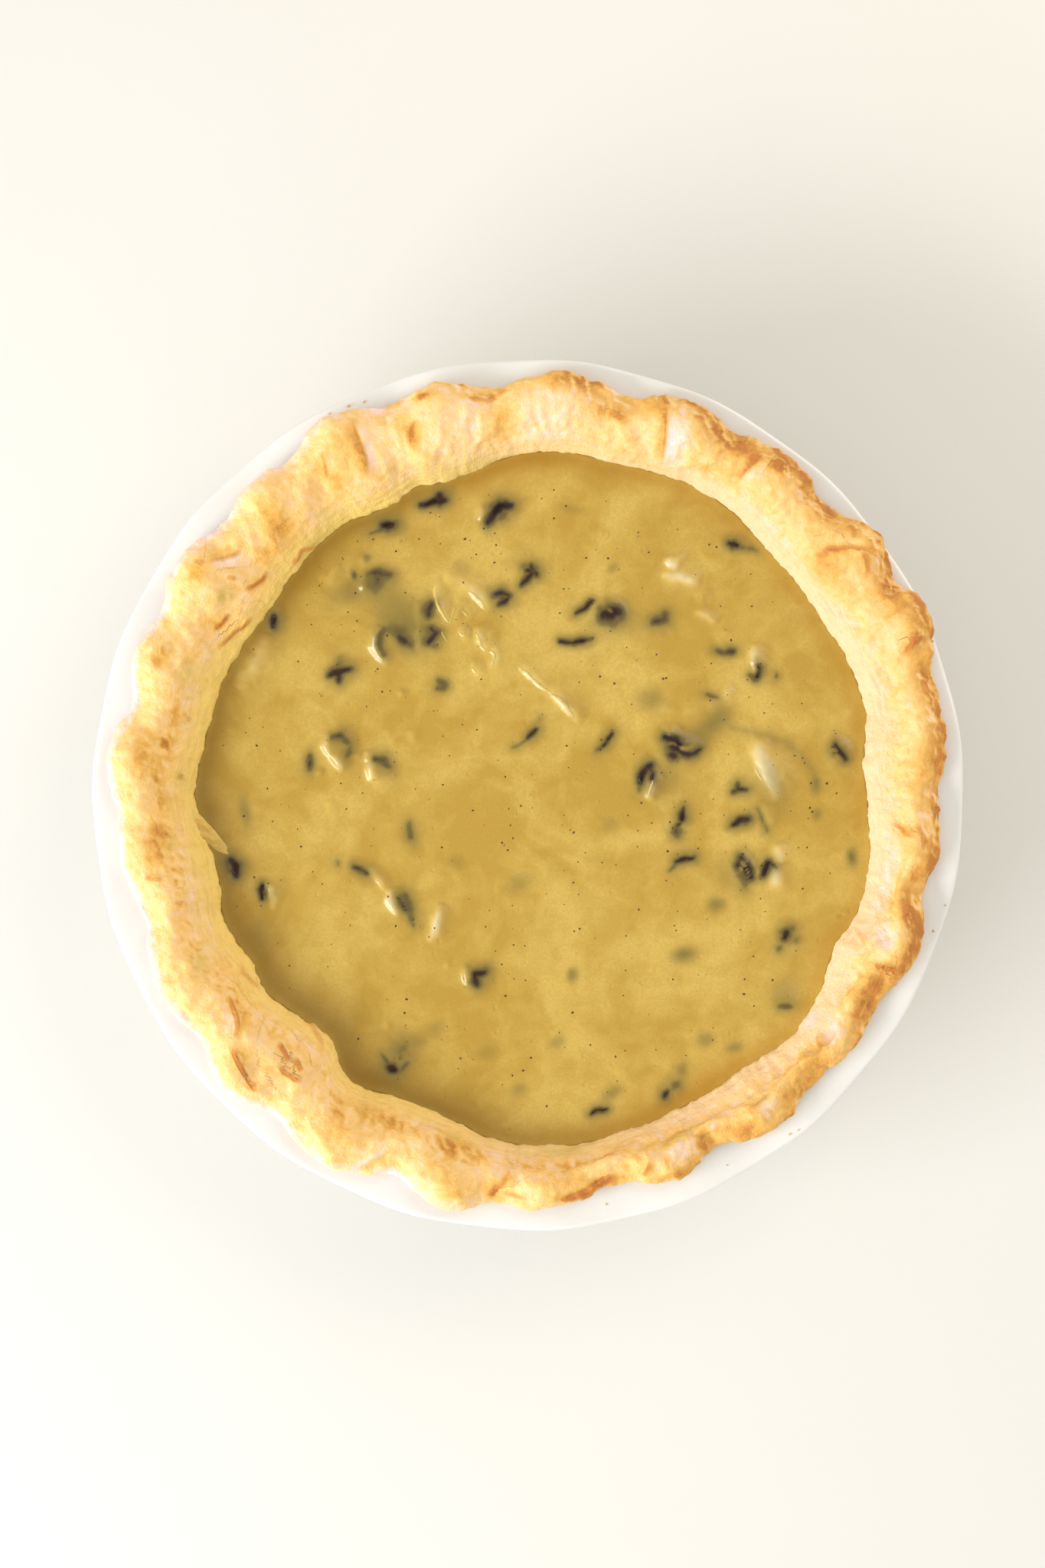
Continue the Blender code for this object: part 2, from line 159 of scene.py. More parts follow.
# Painted board: a matt off-white with the faintest change of tone.
board, tree, shader = new_material("painted_table")
place = add_node(tree, "TexCoord").outputs["Object"]
cloud = add_node(tree, "TexNoise", {"Vector": place, "Scale": per_mm(180.0), "Detail": 3.0})
tone = add_node(
    tree, "Mix", {"Factor": cloud, "A": linear("#D9D7D1"), "B": linear("#DEDCD7")}, data_type="RGBA"
)
plug(tree, shader, {"Base Color": tone, "Roughness": 0.7})
table_mesh = bpy.data.meshes.new("table")
TABLE_REACH = 4.0
corners = [(x * TABLE_REACH, y * TABLE_REACH, 0.0) for x, y in ((-1, -1), (1, -1), (1, 1), (-1, 1))]
table_mesh.from_pydata(corners, [], [(0, 1, 2, 3)])
table_mesh.materials.append(board)
table = bpy.data.objects.new("table", table_mesh)
scene.collection.objects.link(table)
print("The camera sees", round(SENSOR / LENS * ABOVE_RIM, 3), "m of the rim's plane from top to bottom.")

# %% [markdown]
# ## Turning formulas into meshes
#
# Every piece below is a grid of points: rows that follow one another and columns
# that go round. Numpy works out all points at once, and one function joins them. A
# closed piece has a pole at each end, where its first and last rows shrink to a
# point.


# %% Mesh helpers
def closed_faces(rows, columns):
    """Faces of a closed skin over rows x columns points numbered row by row, with
    the first pole as point rows * columns and the last pole as the one after."""
    here = np.arange(rows * columns).reshape(rows, columns)
    after = np.roll(here, -1, axis=1)
    quads = np.stack((here[:-1], after[:-1], after[1:], here[1:]), axis=-1).reshape(-1, 4)
    first, last = rows * columns, rows * columns + 1
    start = np.column_stack((np.full(columns, first), after[0], here[0]))
    end = np.column_stack((np.full(columns, last), here[-1], after[-1]))
    return quads.tolist() + start.tolist() + end.tolist()


def new_piece(name, points, faces, material, slot, nodes=(), **attributes):
    """A smooth mesh at the origin that rides on the pie, stands for the given plain
    nodes and carries one number per point for each named attribute."""
    mesh = bpy.data.meshes.new(name)
    mesh.from_pydata(np.asarray(points).tolist(), [], faces)
    mesh.shade_smooth()
    mesh.materials.append(material)
    for attribute, values in attributes.items():
        layer = mesh.attributes.new(attribute, "FLOAT", "POINT")
        layer.data.foreach_set("value", np.asarray(values, np.float32))
    piece = bpy.data.objects.new(name, mesh)
    scene.collection.objects.link(piece)
    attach(piece, "root")
    if nodes:
        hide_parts(*nodes)
    return piece


def spline_rows(knots, at):
    """Points of a smooth profile through knots (knot, column, axis), read at the
    given knot numbers: Catmull and Rom's cubic, (2b + (c-a)t + (2a-5b+4c-d)t^2 +
    (3b-a-3c+d)t^3) / 2, through b and c with their neighbours a and d."""
    padded = np.concatenate((2 * knots[:1] - knots[1:2], knots, 2 * knots[-1:] - knots[-2:-1]))
    number = np.clip(np.floor(at).astype(int), 0, len(knots) - 2)
    t = (at - number)[:, None, None]
    a, b, c, d = (padded[number + k] for k in range(4))
    return (2 * b + (c - a) * t + (2 * a - 5 * b + 4 * c - d) * t**2 + (3 * b - a - 3 * c + d) * t**3) / 2


def surface_normals(grid):
    """The unit normal of a grid (row, column, xyz) whose columns close round: the
    cross product of the steps along a column and along a row."""
    down = np.gradient(grid, axis=0)
    along = np.roll(grid, -1, axis=1) - np.roll(grid, 1, axis=1)
    normal = np.cross(along, down)
    return normal / np.linalg.norm(normal, axis=-1, keepdims=True)


print("A closed skin of 4 rows by 6 columns has", len(closed_faces(4, 6)), "faces.")

# %% [markdown]
# ## Unevenness
#
# Nothing on a home-made pie is even. Two kinds of noise give that: soft hills, for
# dough that sagged and puffed, and cells, for the blisters of a flaky crust. Both
# are functions of a place in space, so they close round the pie by themselves.


# %% Noise
def lattice_value(cell, seed):
    """A random number from 0 to 1 for each whole-number cell (..., 3), mixed from
    its three coordinates by multiplying and folding large primes."""
    mixed = cell[..., 0] * 73856093 ^ cell[..., 1] * 19349663 ^ cell[..., 2] * 83492791
    mixed = (mixed ^ (seed * 2654435761)) & 0xFFFFFFFF
    mixed = ((mixed >> 15) ^ mixed) * 2246822519 & 0xFFFFFFFF
    mixed = ((mixed >> 13) ^ mixed) * 3266489917 & 0xFFFFFFFF
    return (mixed >> 8) / float(1 << 24)


def hills(places, size, seed, octaves=1):
    """Soft noise from -1 to 1 at places (..., 3): random numbers on a lattice of the
    given size, eased from corner to corner by t*t*(3-2t). Each further octave is
    half as large and half as strong."""
    total, weight = 0.0, 0.0
    for octave in range(octaves):
        scaled = places / (size / 2**octave)
        cell = np.floor(scaled).astype(np.int64)
        t = scaled - cell
        t = t * t * (3 - 2 * t)
        value = 0.0
        for corner in np.ndindex(2, 2, 2):
            share = np.prod(np.where(corner, t, 1 - t), axis=-1)
            value = value + share * lattice_value(cell + np.array(corner), seed + octave)
        total = total + (2 * value - 1) / 2**octave
        weight += 1 / 2**octave
    return total / weight


def blisters(places, size, seed):
    """Domes from 0 to 1: each cell of the lattice holds one random centre, and the
    height falls from it as 1 - (distance / 0.55 cells)^2. About half the cells are
    left flat."""
    scaled = places / size
    cell = np.floor(scaled).astype(np.int64)
    height = np.zeros(scaled.shape[:-1])
    for step in np.ndindex(3, 3, 3):
        near = cell + np.array(step) - 1
        centre = near + np.stack([lattice_value(near, seed + k) for k in range(3)], axis=-1)
        away = np.linalg.norm(scaled - centre, axis=-1) / 0.55
        dome = np.clip(1 - away**2, 0, 1) * (lattice_value(near, seed + 3) > 0.5)
        height = np.maximum(height, dome)
    return height


def eased(rows, degrees):
    """The rows' value at each clock angle, eased by half a cosine wave between one
    row (angle, value) and the next, all the way round."""
    angles, values = np.array(rows, float).T
    angles = np.concatenate((angles[-1:] - 360.0, angles, angles[:1] + 360.0))
    values = np.concatenate((values[-1:], values, values[:1]))
    before = np.searchsorted(angles, degrees, side="right") - 1
    share = (degrees - angles[before]) / (angles[before + 1] - angles[before])
    share = (1.0 - np.cos(np.pi * share)) / 2.0
    return values[before] * (1.0 - share) + values[before + 1] * share


def smooth_step(low, high, value):
    """0 below low, 1 above high, and t*t*(3-2t) between them."""
    t = np.clip((value - low) / (high - low), 0, 1)
    return t * t * (3 - 2 * t)


def wrinkles(places, size, seed, octaves=2):
    """Narrow folds from 0 to 1 that wander like creases in cloth: they follow the
    lines where soft noise passes through 0, as (1 - |noise|)^6."""
    return (1 - np.abs(hills(places, size, seed, octaves))) ** 6


probe = np.random.default_rng(1).uniform(-50, 50, (2000, 3))
print("Hills reach from", round(hills(probe, 8.0, 1).min(), 2), "to", round(hills(probe, 8.0, 1).max(), 2))

# %% [markdown]
# ## The dish
#
# The real dish is stoneware with a thick white glaze. Its flange was pressed into
# nineteen soft waves, which show as faint bands of grey. A turned profile whose
# flange height waves with the clock angle is all it takes, and a Catmull-Rom spline
# rounds every edge as the glaze does.

# %% Dish
DISH_RADIUS = 132.0 * MM
FLANGE_INNER, FLANGE_OUTER = 118.5 * MM, 130.6 * MM
FLANGE_INNER_HEIGHT, FLANGE_OUTER_HEIGHT = 41.6 * MM, 42.4 * MM
RIPPLES = 19
RIPPLE_START = 93.0
RIPPLE_HEIGHT = 0.5 * MM
RIPPLE_REACH = 0.2 * MM
DISH_COLUMNS = 760
DISH_ROWS = 84


def ripple(degrees):
    """The flange's wave round the dish: -1 in a trough, +1 on a crest."""
    return -np.cos(np.radians(RIPPLES * (degrees - RIPPLE_START)))


def flange_top(degrees, radius):
    """Height of the flange's upper face: it rises evenly outwards, and its wave
    grows from nothing at the inner edge."""
    share = (radius - FLANGE_INNER) / (FLANGE_OUTER - FLANGE_INNER)
    rise = (FLANGE_OUTER_HEIGHT - FLANGE_INNER_HEIGHT) * share
    return FLANGE_INNER_HEIGHT + rise + RIPPLE_HEIGHT * np.maximum(share, 0) * ripple(degrees)


def polar(degrees, radius, height):
    """Points (row, column, xyz) from clock angles and from radius and height."""
    turn, radius, height = np.broadcast_arrays(np.radians(degrees), radius, height)
    return np.stack((radius * np.cos(turn), radius * np.sin(turn), height), axis=-1)


def knot_table(rows, degrees):
    """Rows of radius and height, each one number or one for each clock angle, as one
    array (knot, column, radius and height)."""
    return np.array([[np.broadcast_to(v, degrees.shape) for v in row] for row in rows]).transpose(0, 2, 1)


def dish_profile(degrees):
    """Knots of the dish's skin, from under the foot, up outside, over the flange
    and down inside to the floor, as (knot, column, radius and height)."""
    edge = DISH_RADIUS + RIPPLE_REACH * ripple(degrees)
    top = flange_top(degrees, FLANGE_OUTER)
    wave = top - FLANGE_OUTER_HEIGHT
    rows = [
        (60.0 * MM, 1.4 * MM), (78.0 * MM, 1.4 * MM), (81.0 * MM, 0.1 * MM), (86.0 * MM, 0.1 * MM),
        (90.0 * MM, 2.2 * MM), (99.5 * MM, 14.0 * MM), (109.0 * MM, 26.0 * MM), (117.4 * MM, 36.6 * MM),
        (121.5 * MM, 38.3 * MM + 0.4 * wave), (129.4 * MM, top - 3.4 * MM),
        (edge - 0.4 * MM, top - 2.4 * MM), (edge, top - 1.2 * MM), (edge - 0.6 * MM, top - 0.2 * MM),
        (129.0 * MM, flange_top(degrees, 129.0 * MM)), (124.0 * MM, flange_top(degrees, 124.0 * MM)),
        (118.5 * MM, FLANGE_INNER_HEIGHT), (115.2 * MM, 40.6 * MM), (113.6 * MM, 38.6 * MM),
        (102.0 * MM, 23.0 * MM), (89.5 * MM, 7.6 * MM), (85.5 * MM, 5.1 * MM), (60.0 * MM, 5.0 * MM),
    ]
    return knot_table(rows, degrees)


# Glazed stoneware: cool white glaze, a mirror-like coat over a body that lets a
# little light in, with the faint orange peel that a poured glaze dries with.
glaze, tree, shader = new_material("white_glazed_stoneware")
place = add_node(tree, "TexCoord").outputs["Object"]
peel = add_node(tree, "TexNoise", {"Vector": place, "Scale": per_mm(7.0), "Detail": 2.0})
tone = add_node(
    tree, "Mix", {"Factor": peel, "A": linear("#DFDEDA"), "B": linear("#E4E3DF")}, data_type="RGBA"
)
bump = add_node(tree, "Bump", {"Height": peel, "Strength": 0.25, "Distance": 0.15 * MM})
plug(
    tree, shader,
    {
        "Base Color": tone, "Normal": bump, "Roughness": 0.16, "IOR": 1.5, "Coat Weight": 0.3,
        "Coat Roughness": 0.08,
    },
)

degrees = np.arange(DISH_COLUMNS) * 360.0 / DISH_COLUMNS
knots = dish_profile(degrees)
skin = spline_rows(knots, np.linspace(0, len(knots) - 1, DISH_ROWS))
skin[..., 1] = np.maximum(skin[..., 1], 0.0)
points = polar(degrees, skin[..., 0], skin[..., 1]).reshape(-1, 3)
points = np.vstack((points, (0, 0, 1.4 * MM), (0, 0, 5.0 * MM)))
dish = new_piece(
    "ceramic_dish", points, closed_faces(DISH_ROWS, DISH_COLUMNS), glaze, "glazed_dish", ["pie_dish"]
)
print("The dish's skin has", len(dish.data.polygons), "faces.")

# %% [markdown]
# ## The pastry's form
#
# The shell is short pastry, pinched by hand into a wavy rim. Its form is a profile
# that changes all the way round: up the inner wall from the custard, over the rim
# and down outside to the flange. Three tables hold what the hand did: where each
# crimp stands, where the wall meets the custard, and how far the wall leans.

# %% Pastry form
CRUST_COLUMNS = 1024
CUSTARD_LEVEL = 37.0 * MM
CREST_HEIGHT = 49.6 * MM
DIP_DROP = 3.2
SHOULDER_HEIGHT = 44.2 * MM
SHOULDER_FOLLOWS = 0.4
RIDGE_INSET = 7.0 * MM  # from the outer edge in to the crest line
SOLE_INSET = 1.2 * MM
GAP = 0.3 * MM

# Each pinched crimp: clock angle, outer radius in mm, outer radius in mm of the dip
# after it, and how much higher in mm than an ordinary crimp it stands.
CRIMPS = (
    (10, 127.2, 127.5, -0.6), (24, 132.0, 128.1, 0.4), (36, 131.4, 125.4, 0.5), (53, 128.4, 125.6, 0.6),
    (67, 128.1, 124.0, 0.4), (86, 127.5, 122.8, 0.5), (103.5, 127.0, 124.9, 0.2), (118, 128.8, 124.2, 0.6),
    (132, 125.8, 123.5, 0.3), (146, 126.8, 123.8, 0.4), (160, 126.3, 122.4, -0.2), (175, 127.2, 124.2, 0.2),
    (189, 124.7, 121.9, 0.1), (208, 125.6, 123.8, -0.4), (224, 127.9, 123.5, 0.2), (241, 127.7, 121.2, 0.7),
    (259, 127.2, 123.5, 0.6), (273, 124.7, 120.1, 0.1), (291, 124.2, 120.1, 0.5),
    (306.5, 124.5, 122.4, 0.0), (321, 124.2, 122.6, 0.1), (338, 126.8, 122.4, 0.5),
    (352, 124.2, 124.2, -0.2),
)
# Where the wall meets the custard: clock angle and radius in mm.
FILLING_LINE = (
    (5, 102.4), (14, 106.2), (40, 104.1), (61, 106.6), (76, 104.5), (85, 104.7),
    (106, 98.8), (110, 99.2), (116, 97.8), (125, 99.3), (147, 97.0), (163, 99.8),
    (168, 99.2), (179, 101.4), (194, 97.8), (203, 100.0), (211, 98.6), (216, 99.8),
    (230, 95.7), (239, 102.8), (248, 100.3), (275, 107.4), (304, 105.9),
    (320, 109.0), (334, 104.5), (343, 106.8),
)
# How far the inner wall leans back, level, up to the rim's shoulder, in mm.
WALL_RUN = (
    (0, 9.0), (45, 7.0), (75, 5.0), (105, 7.0), (135, 9.0), (160, 9.0),
    (200, 10.0), (230, 6.5), (250, 6.0), (285, 4.5), (310, 6.0), (335, 8.0),
)


def crimp_rows():
    """Turning points of the rim: crimps, and the dips halfway between them, as
    (angle, outer radius in mm, height above an ordinary crimp in mm)."""
    rows = []
    for number, (angle, crest, dip, lift) in enumerate(CRIMPS):
        after_angle = CRIMPS[(number + 1) % len(CRIMPS)][0]
        half_way = (after_angle - angle) % 360 / 2
        rows += [(angle, crest, lift), ((angle + half_way) % 360, dip, lift - DIP_DROP)]
    return sorted(rows)


def rim_radius(degrees):
    """The pastry's outer edge, scalloped by the crimps."""
    return eased([(row[0], row[1]) for row in crimp_rows()], degrees) * MM


def rim_height(degrees):
    """Height of the rim's crest line, high on a crimp and low in a dip."""
    return CREST_HEIGHT + eased([(row[0], row[2]) for row in crimp_rows()], degrees) * MM


def custard_radius(degrees):
    """Where the pastry's inner wall meets the custard: the table's line with a
    waver of half a millimetre."""
    turn = np.radians(degrees)
    places = np.stack((104.0 * np.cos(turn), 104.0 * np.sin(turn), np.zeros(turn.shape)), axis=-1)
    waver = 0.55 * hills(places, 6.5, 201, 2) + 0.25 * hills(places, 2.4, 203)
    return (eased(FILLING_LINE, degrees) + waver) * MM


def visible_profile(degrees):
    """Knots of the pastry that shows, from just under the custard to the flange, as
    (knot, column, radius and height)."""
    inner, outer, crest = custard_radius(degrees), rim_radius(degrees), rim_height(degrees)
    shoulder = (eased(FILLING_LINE, degrees) + eased(WALL_RUN, degrees)) * MM
    shoulder_height = SHOULDER_HEIGHT + SHOULDER_FOLLOWS * (crest - CREST_HEIGHT)
    ridge, sole = outer - RIDGE_INSET, outer - SOLE_INSET
    sole_height = flange_top(degrees, sole) + GAP
    rows = [
        (inner - 1.2 * MM, CUSTARD_LEVEL - 3.5 * MM), (inner, CUSTARD_LEVEL),
        (inner + 0.42 * (shoulder - inner), (CUSTARD_LEVEL + shoulder_height) / 2),
        (shoulder, shoulder_height),
        (shoulder + 0.42 * (ridge - shoulder), shoulder_height + 0.66 * (crest - shoulder_height)),
        (ridge, crest), (outer - 2.6 * MM, crest - 1.3 * MM), (outer, (crest + sole_height) / 2),
        (sole, sole_height),
    ]
    return knot_table(rows, degrees)


def hidden_profile(degrees):
    """Knots of the pastry that doesn't show: under the flange's inner edge and down
    the dish's wall to the floor, and after it the inside up to the custard."""
    under = [(118.5, 41.9), (114.8, 41.0), (113.2, 38.7), (101.4, 23.4), (89.1, 7.9), (85.1, 5.4)]
    hidden_middle = (81.0 * MM + custard_radius(degrees)) / 2 + 1.0 * MM
    inside = [(81.0 * MM, 9.3 * MM), (hidden_middle, 23.0 * MM)]
    return knot_table(np.array(under) * MM, degrees), knot_table(inside, degrees)


# Rows lie closest together where the rim turns and shows most.
ROW_SHARES = (3, 11, 12, 13, 12, 11, 10, 8)  # rows from each visible knot to the next
row_places = np.concatenate(
    [np.linspace(k, k + 1, count, endpoint=False) for k, count in enumerate(ROW_SHARES)] + [[8.0]]
)
crust_degrees = np.arange(CRUST_COLUMNS) * 360.0 / CRUST_COLUMNS
crust_profile = spline_rows(visible_profile(crust_degrees), row_places)
print("The visible pastry is", crust_profile.shape[0], "rows of", CRUST_COLUMNS, "points.")

# %% [markdown]
# ## Cracks, folds and flakes
#
# Flaky pastry tears where the fingers pressed it, and its layers lift at their
# edges. Each tear is a short line of points on the rim. The pastry sinks along it,
# and on the left of the line, looking along it, a layer may stand up a little. The
# mesh is coarser than a hairline, so each point also keeps its distance from the
# nearest line, with a sign for the side: the shader draws the crisp line from that,
# dark as painted shade in the crack and partly browned dough, and paints one side
# of a step paler than the other, partly the flake's colour and partly painted
# light and shade.

# %% Cracks and flake edges
# Each line: depth in mm, lift in mm on its left side, how much paler its left side is
# painted than its right, partly the flake's own colour and partly painted light and
# shade across its step, then its points as clock angle and radius in mm.
TEARS = (
    (0.9, 0.0, 0.0, (21.6, 129.5), (21.9, 125.6), (22.3, 124.3), (21.6, 123.7), (21.1, 122.2), (20.2, 119.6)),
    (0.5, 0.0, 0.0, (22.2, 124.4), (23.0, 124.4)),
    (0.3, 0.3, 0.0, (0.8, 122.4), (3, 123.0), (5, 124.4), (6.8, 125.2)),
    (0.2, 0.2, 0.0, (3, 120.8), (5, 121.9), (7.5, 122.8), (10.5, 122.6)),
    (0.15, 0.2, 0.0, (21, 114.8), (23.3, 116.1), (25.2, 116.6)),
    (0.3, 0.0, 0.0, (26.4, 128.2), (26.6, 125.6), (26.4, 121.9), (26.3, 118.0)),
    (0.5, 0.0, 0.0, (31.3, 126.5), (30.2, 125.0), (31.3, 122.6)),
    (0.7, 0.0, -0.3, (35.5, 128.0), (36.2, 124.7), (37.4, 122.4), (38.6, 118.8), (39.4, 117.0), (40, 112.4)),
    (0.6, 0.0, -0.3, (32.6, 120.3), (33.5, 122.1), (34.8, 123.5), (36.5, 124.1)),
    (0.5, 0.0, 0.0, (38, 123.6), (38.8, 125.4), (40.2, 126.4)),
    (0.4, 0.0, 0.0, (43, 121.0), (44.1, 121.6), (44.2, 119.8)),
    (0.9, 0.0, 0.0, (52.6, 121.8), (52.7, 124.2), (52.6, 126.4)),
    (0.4, 0.4, -0.6, (56.3, 112.4), (55.9, 117.6), (55.3, 121.9), (55.1, 125.0)),
    (0.5, 0.0, 0.0, (64.8, 124.6), (66.6, 124.1)),
    (0.4, 0.3, -0.5, (67.6, 107.0), (68.4, 112.0), (69.3, 118.0), (70.4, 124.6)),
    (0.6, 0.0, 0.0, (70.0, 123.8), (71.2, 126.4)),
    (0.3, 0.0, 0.0, (76, 118.4), (76.6, 115.3)),
    (0.3, 0.0, 0.0, (77.5, 119.2), (77.7, 116.0)),
    (0.3, 0.0, 0.0, (79.2, 120.2), (79.4, 115.6)),
    (0.3, 0.0, 0.0, (82.2, 124.5), (82.0, 121.4)),
    (0.2, 0.0, 0.0, (86.1, 126.0), (86.6, 122.5), (86.3, 119.6)),
    (0.5, 0.3, 0.3, (92.3, 123.4), (94, 120.5), (96, 119.3), (97.8, 119.9), (99.4, 121.8)),
    (0.7, 0.0, 0.0, (104.8, 124.6), (105.3, 122.4)),
    (0.3, 0.2, -0.4, (106.6, 118.4), (108, 115.4), (108.8, 110.8)),
    (0.4, 0.2, 0.0, (107.6, 125.1), (109, 124.0), (110.8, 125.0)),
    (0.4, 0.3, -0.6, (116.6, 106.5), (115.6, 112.0), (115.2, 119.0), (115.1, 125.6)),
    (0.3, 0.2, -0.4, (122.2, 112.4), (121.4, 116.5), (120.8, 120.3)),
    (0.5, 0.2, 0.5, (139.0, 113.3), (140.8, 113.9), (142.4, 116.0), (143.2, 117.5), (144.4, 118.9)),
    (0.4, 0.0, 0.0, (144.9, 122.4), (144.6, 119.2)),
    (0.5, 0.0, 0.0, (143.4, 109.4), (144.3, 111.8)),
    (0.9, 0.6, 0.0, (139.3, 104.3), (141, 103.7), (142.8, 104.6), (144.4, 105.8)),
    (0.9, 0.6, 0.0, (148.7, 105.6), (150.6, 106.1), (152.6, 107.6)),
    (0.8, 0.5, 0.0, (146.8, 99.9), (149.5, 100.6), (151, 101.9), (153.5, 103.2), (155.2, 104.4)),
    (0.7, 0.4, 0.0, (130, 100.3), (131.5, 100.2), (132.8, 101.4), (134.3, 100.6), (136.6, 100.3)),
    (0.4, 0.0, 0.0, (158.7, 120.7), (160, 119.8), (161.4, 116.8)),
    (0.3, 0.0, 0.0, (157.6, 118.4), (159.2, 116.8)),
    (0.4, 0.3, 0.0, (166.6, 107.8), (167.9, 104.6)),
    (0.7, 0.0, 0.0, (176.4, 105.6), (177.6, 106.2)),
    (0.5, 0.0, 0.0, (192.1, 118.2), (192.6, 115.5), (193.1, 112.4)),
    (0.4, 0.0, 0.0, (196.8, 112.2), (197.5, 109.3)),
    (0.75, 0.5, 0.4, (220.4, 115.6), (218.8, 112.2), (217.5, 111.0), (215.5, 110.2), (213.4, 109.0)),
    (1.1, 0.5, 0.0, (228.4, 121.4), (226.6, 120.3), (224.4, 119.2), (222, 118.0), (219.8, 116.8)),
    (0.8, 0.3, 0.0, (232.0, 110.4), (230.5, 110.9), (228.6, 111.2), (226.6, 110.2)),
    (0.9, 0.3, 0.0, (228.4, 108.4), (226.8, 106.9), (224.6, 105.8)),
    (0.8, 0.2, 0.0, (230.8, 108.2), (229.6, 107.2), (228.2, 105.9)),
    (0.4, 0.3, 0.0, (227.8, 121.8), (226.8, 119.5), (225.0, 119.6)),
    (0.4, 0.5, 0.0, (232.4, 102.6), (230.4, 98.4), (226.6, 96.4), (221.0, 97.2), (214.7, 99.4)),
    (0.4, 0.3, 0.0, (216.4, 100.4), (214.2, 101.6), (212, 102.2), (209.8, 100.8)),
    (0.3, 0.2, 0.3, (245, 125.4), (246.3, 121.0), (248, 116.5), (249.3, 112.2)),
    (0.5, 0.2, 0.3, (263.6, 121.8), (265.6, 118.0), (266.6, 115.6), (267.2, 112.4)),
    (0.5, 0.2, 0.0, (266.0, 119.6), (268, 120.3), (270.2, 121.2)),
    (0.8, 0.5, 0.3, (273.4, 122.5), (275.5, 121.9), (278, 120.2), (280, 118.4), (282, 117.0), (283.8, 118.2)),
    (0.7, 0.0, 0.0, (286.7, 120.0), (288, 117.6), (288.7, 115.8)),
    (0.3, 0.3, 0.0, (290.9, 114.6), (290.6, 120.7)),
    (0.6, 0.0, 0.0, (296.0, 116.0), (296.6, 118.3), (297.3, 120.2)),
    (0.3, 0.3, 0.0, (290.6, 112.9), (293.5, 111.8), (296.4, 112.9)),
    (0.3, 0.2, 0.0, (305.2, 120.2), (305.3, 115.4), (310.2, 115.2)),
    (0.4, 0.2, 0.0, (319.0, 118.4), (319.5, 115.6), (320.6, 113.6)),
    (0.6, 0.2, 0.0, (325.3, 119.2), (326.6, 118.3), (328.8, 119.4)),
    (0.5, 0.2, 0.0, (329.6, 120.0), (331.4, 119.5), (333, 119.6), (334.1, 118.0)),
    (0.9, 0.0, 0.0, (334.0, 124.6), (334.4, 121.6), (334.2, 118.8), (333.9, 117.2), (334.8, 116.0)),
    (0.6, 0.0, 0.0, (334.4, 122.4), (335.5, 124.4)),
    (0.7, 0.0, 0.0, (341.1, 120.0), (341.7, 118.8), (342.4, 120.2)),
    (0.3, 0.2, 0.0, (335.2, 112.8), (336.4, 110.8), (338.4, 107.0)),
    (0.5, 0.2, 0.0, (346.8, 118.9), (348.4, 118.2), (350.2, 120.2)),
    (0.5, 0.2, 0.0, (351.6, 119.0), (353.3, 119.8), (354, 118.6), (356.2, 116.6)),
    (0.7, 0.0, 0.0, (353.8, 117.4), (354, 115.0), (354.9, 113.2), (355.8, 110.2)),
    (0.5, 0.5, 0.3, (355.6, 121.7), (357.2, 122.8), (358.6, 124.8), (360.4, 125.6)),
    (0.4, 0.3, 0.0, (357.3, 122.5), (358.8, 121.7), (360.6, 121.8)),
)
TEAR_TAPER = 0.28  # share of a tear's length over which each end dies away
LIFT_REACH = 3.2  # mm over which a lifted layer falls back


def tear_fields(x, y):
    """For points at x and y in mm: the signed distance in mm from the nearest tear,
    positive on its left, that tear's strength and its number for the light and shade
    painted across the step there, and the lift of the layers. A point's distance from a
    segment is that from its nearest point, whose share t of the way along is the
    projection clipped to 0..1."""
    nearest = np.full(x.shape, 9.0)
    side = np.full(x.shape, 9.0)
    strength, paleness, lift = np.zeros((3, *x.shape))
    for depth, raised, pale, *way in TEARS:
        turns, radii = np.radians([p[0] for p in way]), np.array([p[1] for p in way])
        line = np.column_stack((radii * np.cos(turns), radii * np.sin(turns)))
        steps = np.diff(line, axis=0)
        lengths = np.hypot(*steps.T)
        gone, whole = 0.0, lengths.sum()
        best = np.full(x.shape, 9.0)
        best_side = np.full(x.shape, 9.0)
        fade = np.zeros(x.shape)
        for start, step, length in zip(line, steps, lengths):
            dx, dy = x - start[0], y - start[1]
            t = np.clip((dx * step[0] + dy * step[1]) / length**2, 0, 1)
            away = np.hypot(dx - t * step[0], dy - t * step[1])
            share = (gone + t * length) / whole
            closer = away < best
            best = np.where(closer, away, best)
            best_side = np.where(closer, np.where(step[0] * dy - step[1] * dx > 0, away, -away), best_side)
            ends = smooth_step(0, TEAR_TAPER, share) * smooth_step(0, TEAR_TAPER, 1 - share)
            fade = np.where(closer, ends, fade)
            gone += length
        lift += raised * fade * (best_side > 0) * np.clip(1 - best / LIFT_REACH, 0, 1) ** 2
        closer = best < nearest
        nearest = np.where(closer, best, nearest)
        side = np.where(closer, best_side, side)
        strength = np.where(closer, depth * fade, strength)
        paleness = np.where(closer, pale * fade, paleness)
    return side, strength, paleness, lift


print(len(TEARS), "tears and flake edges.")
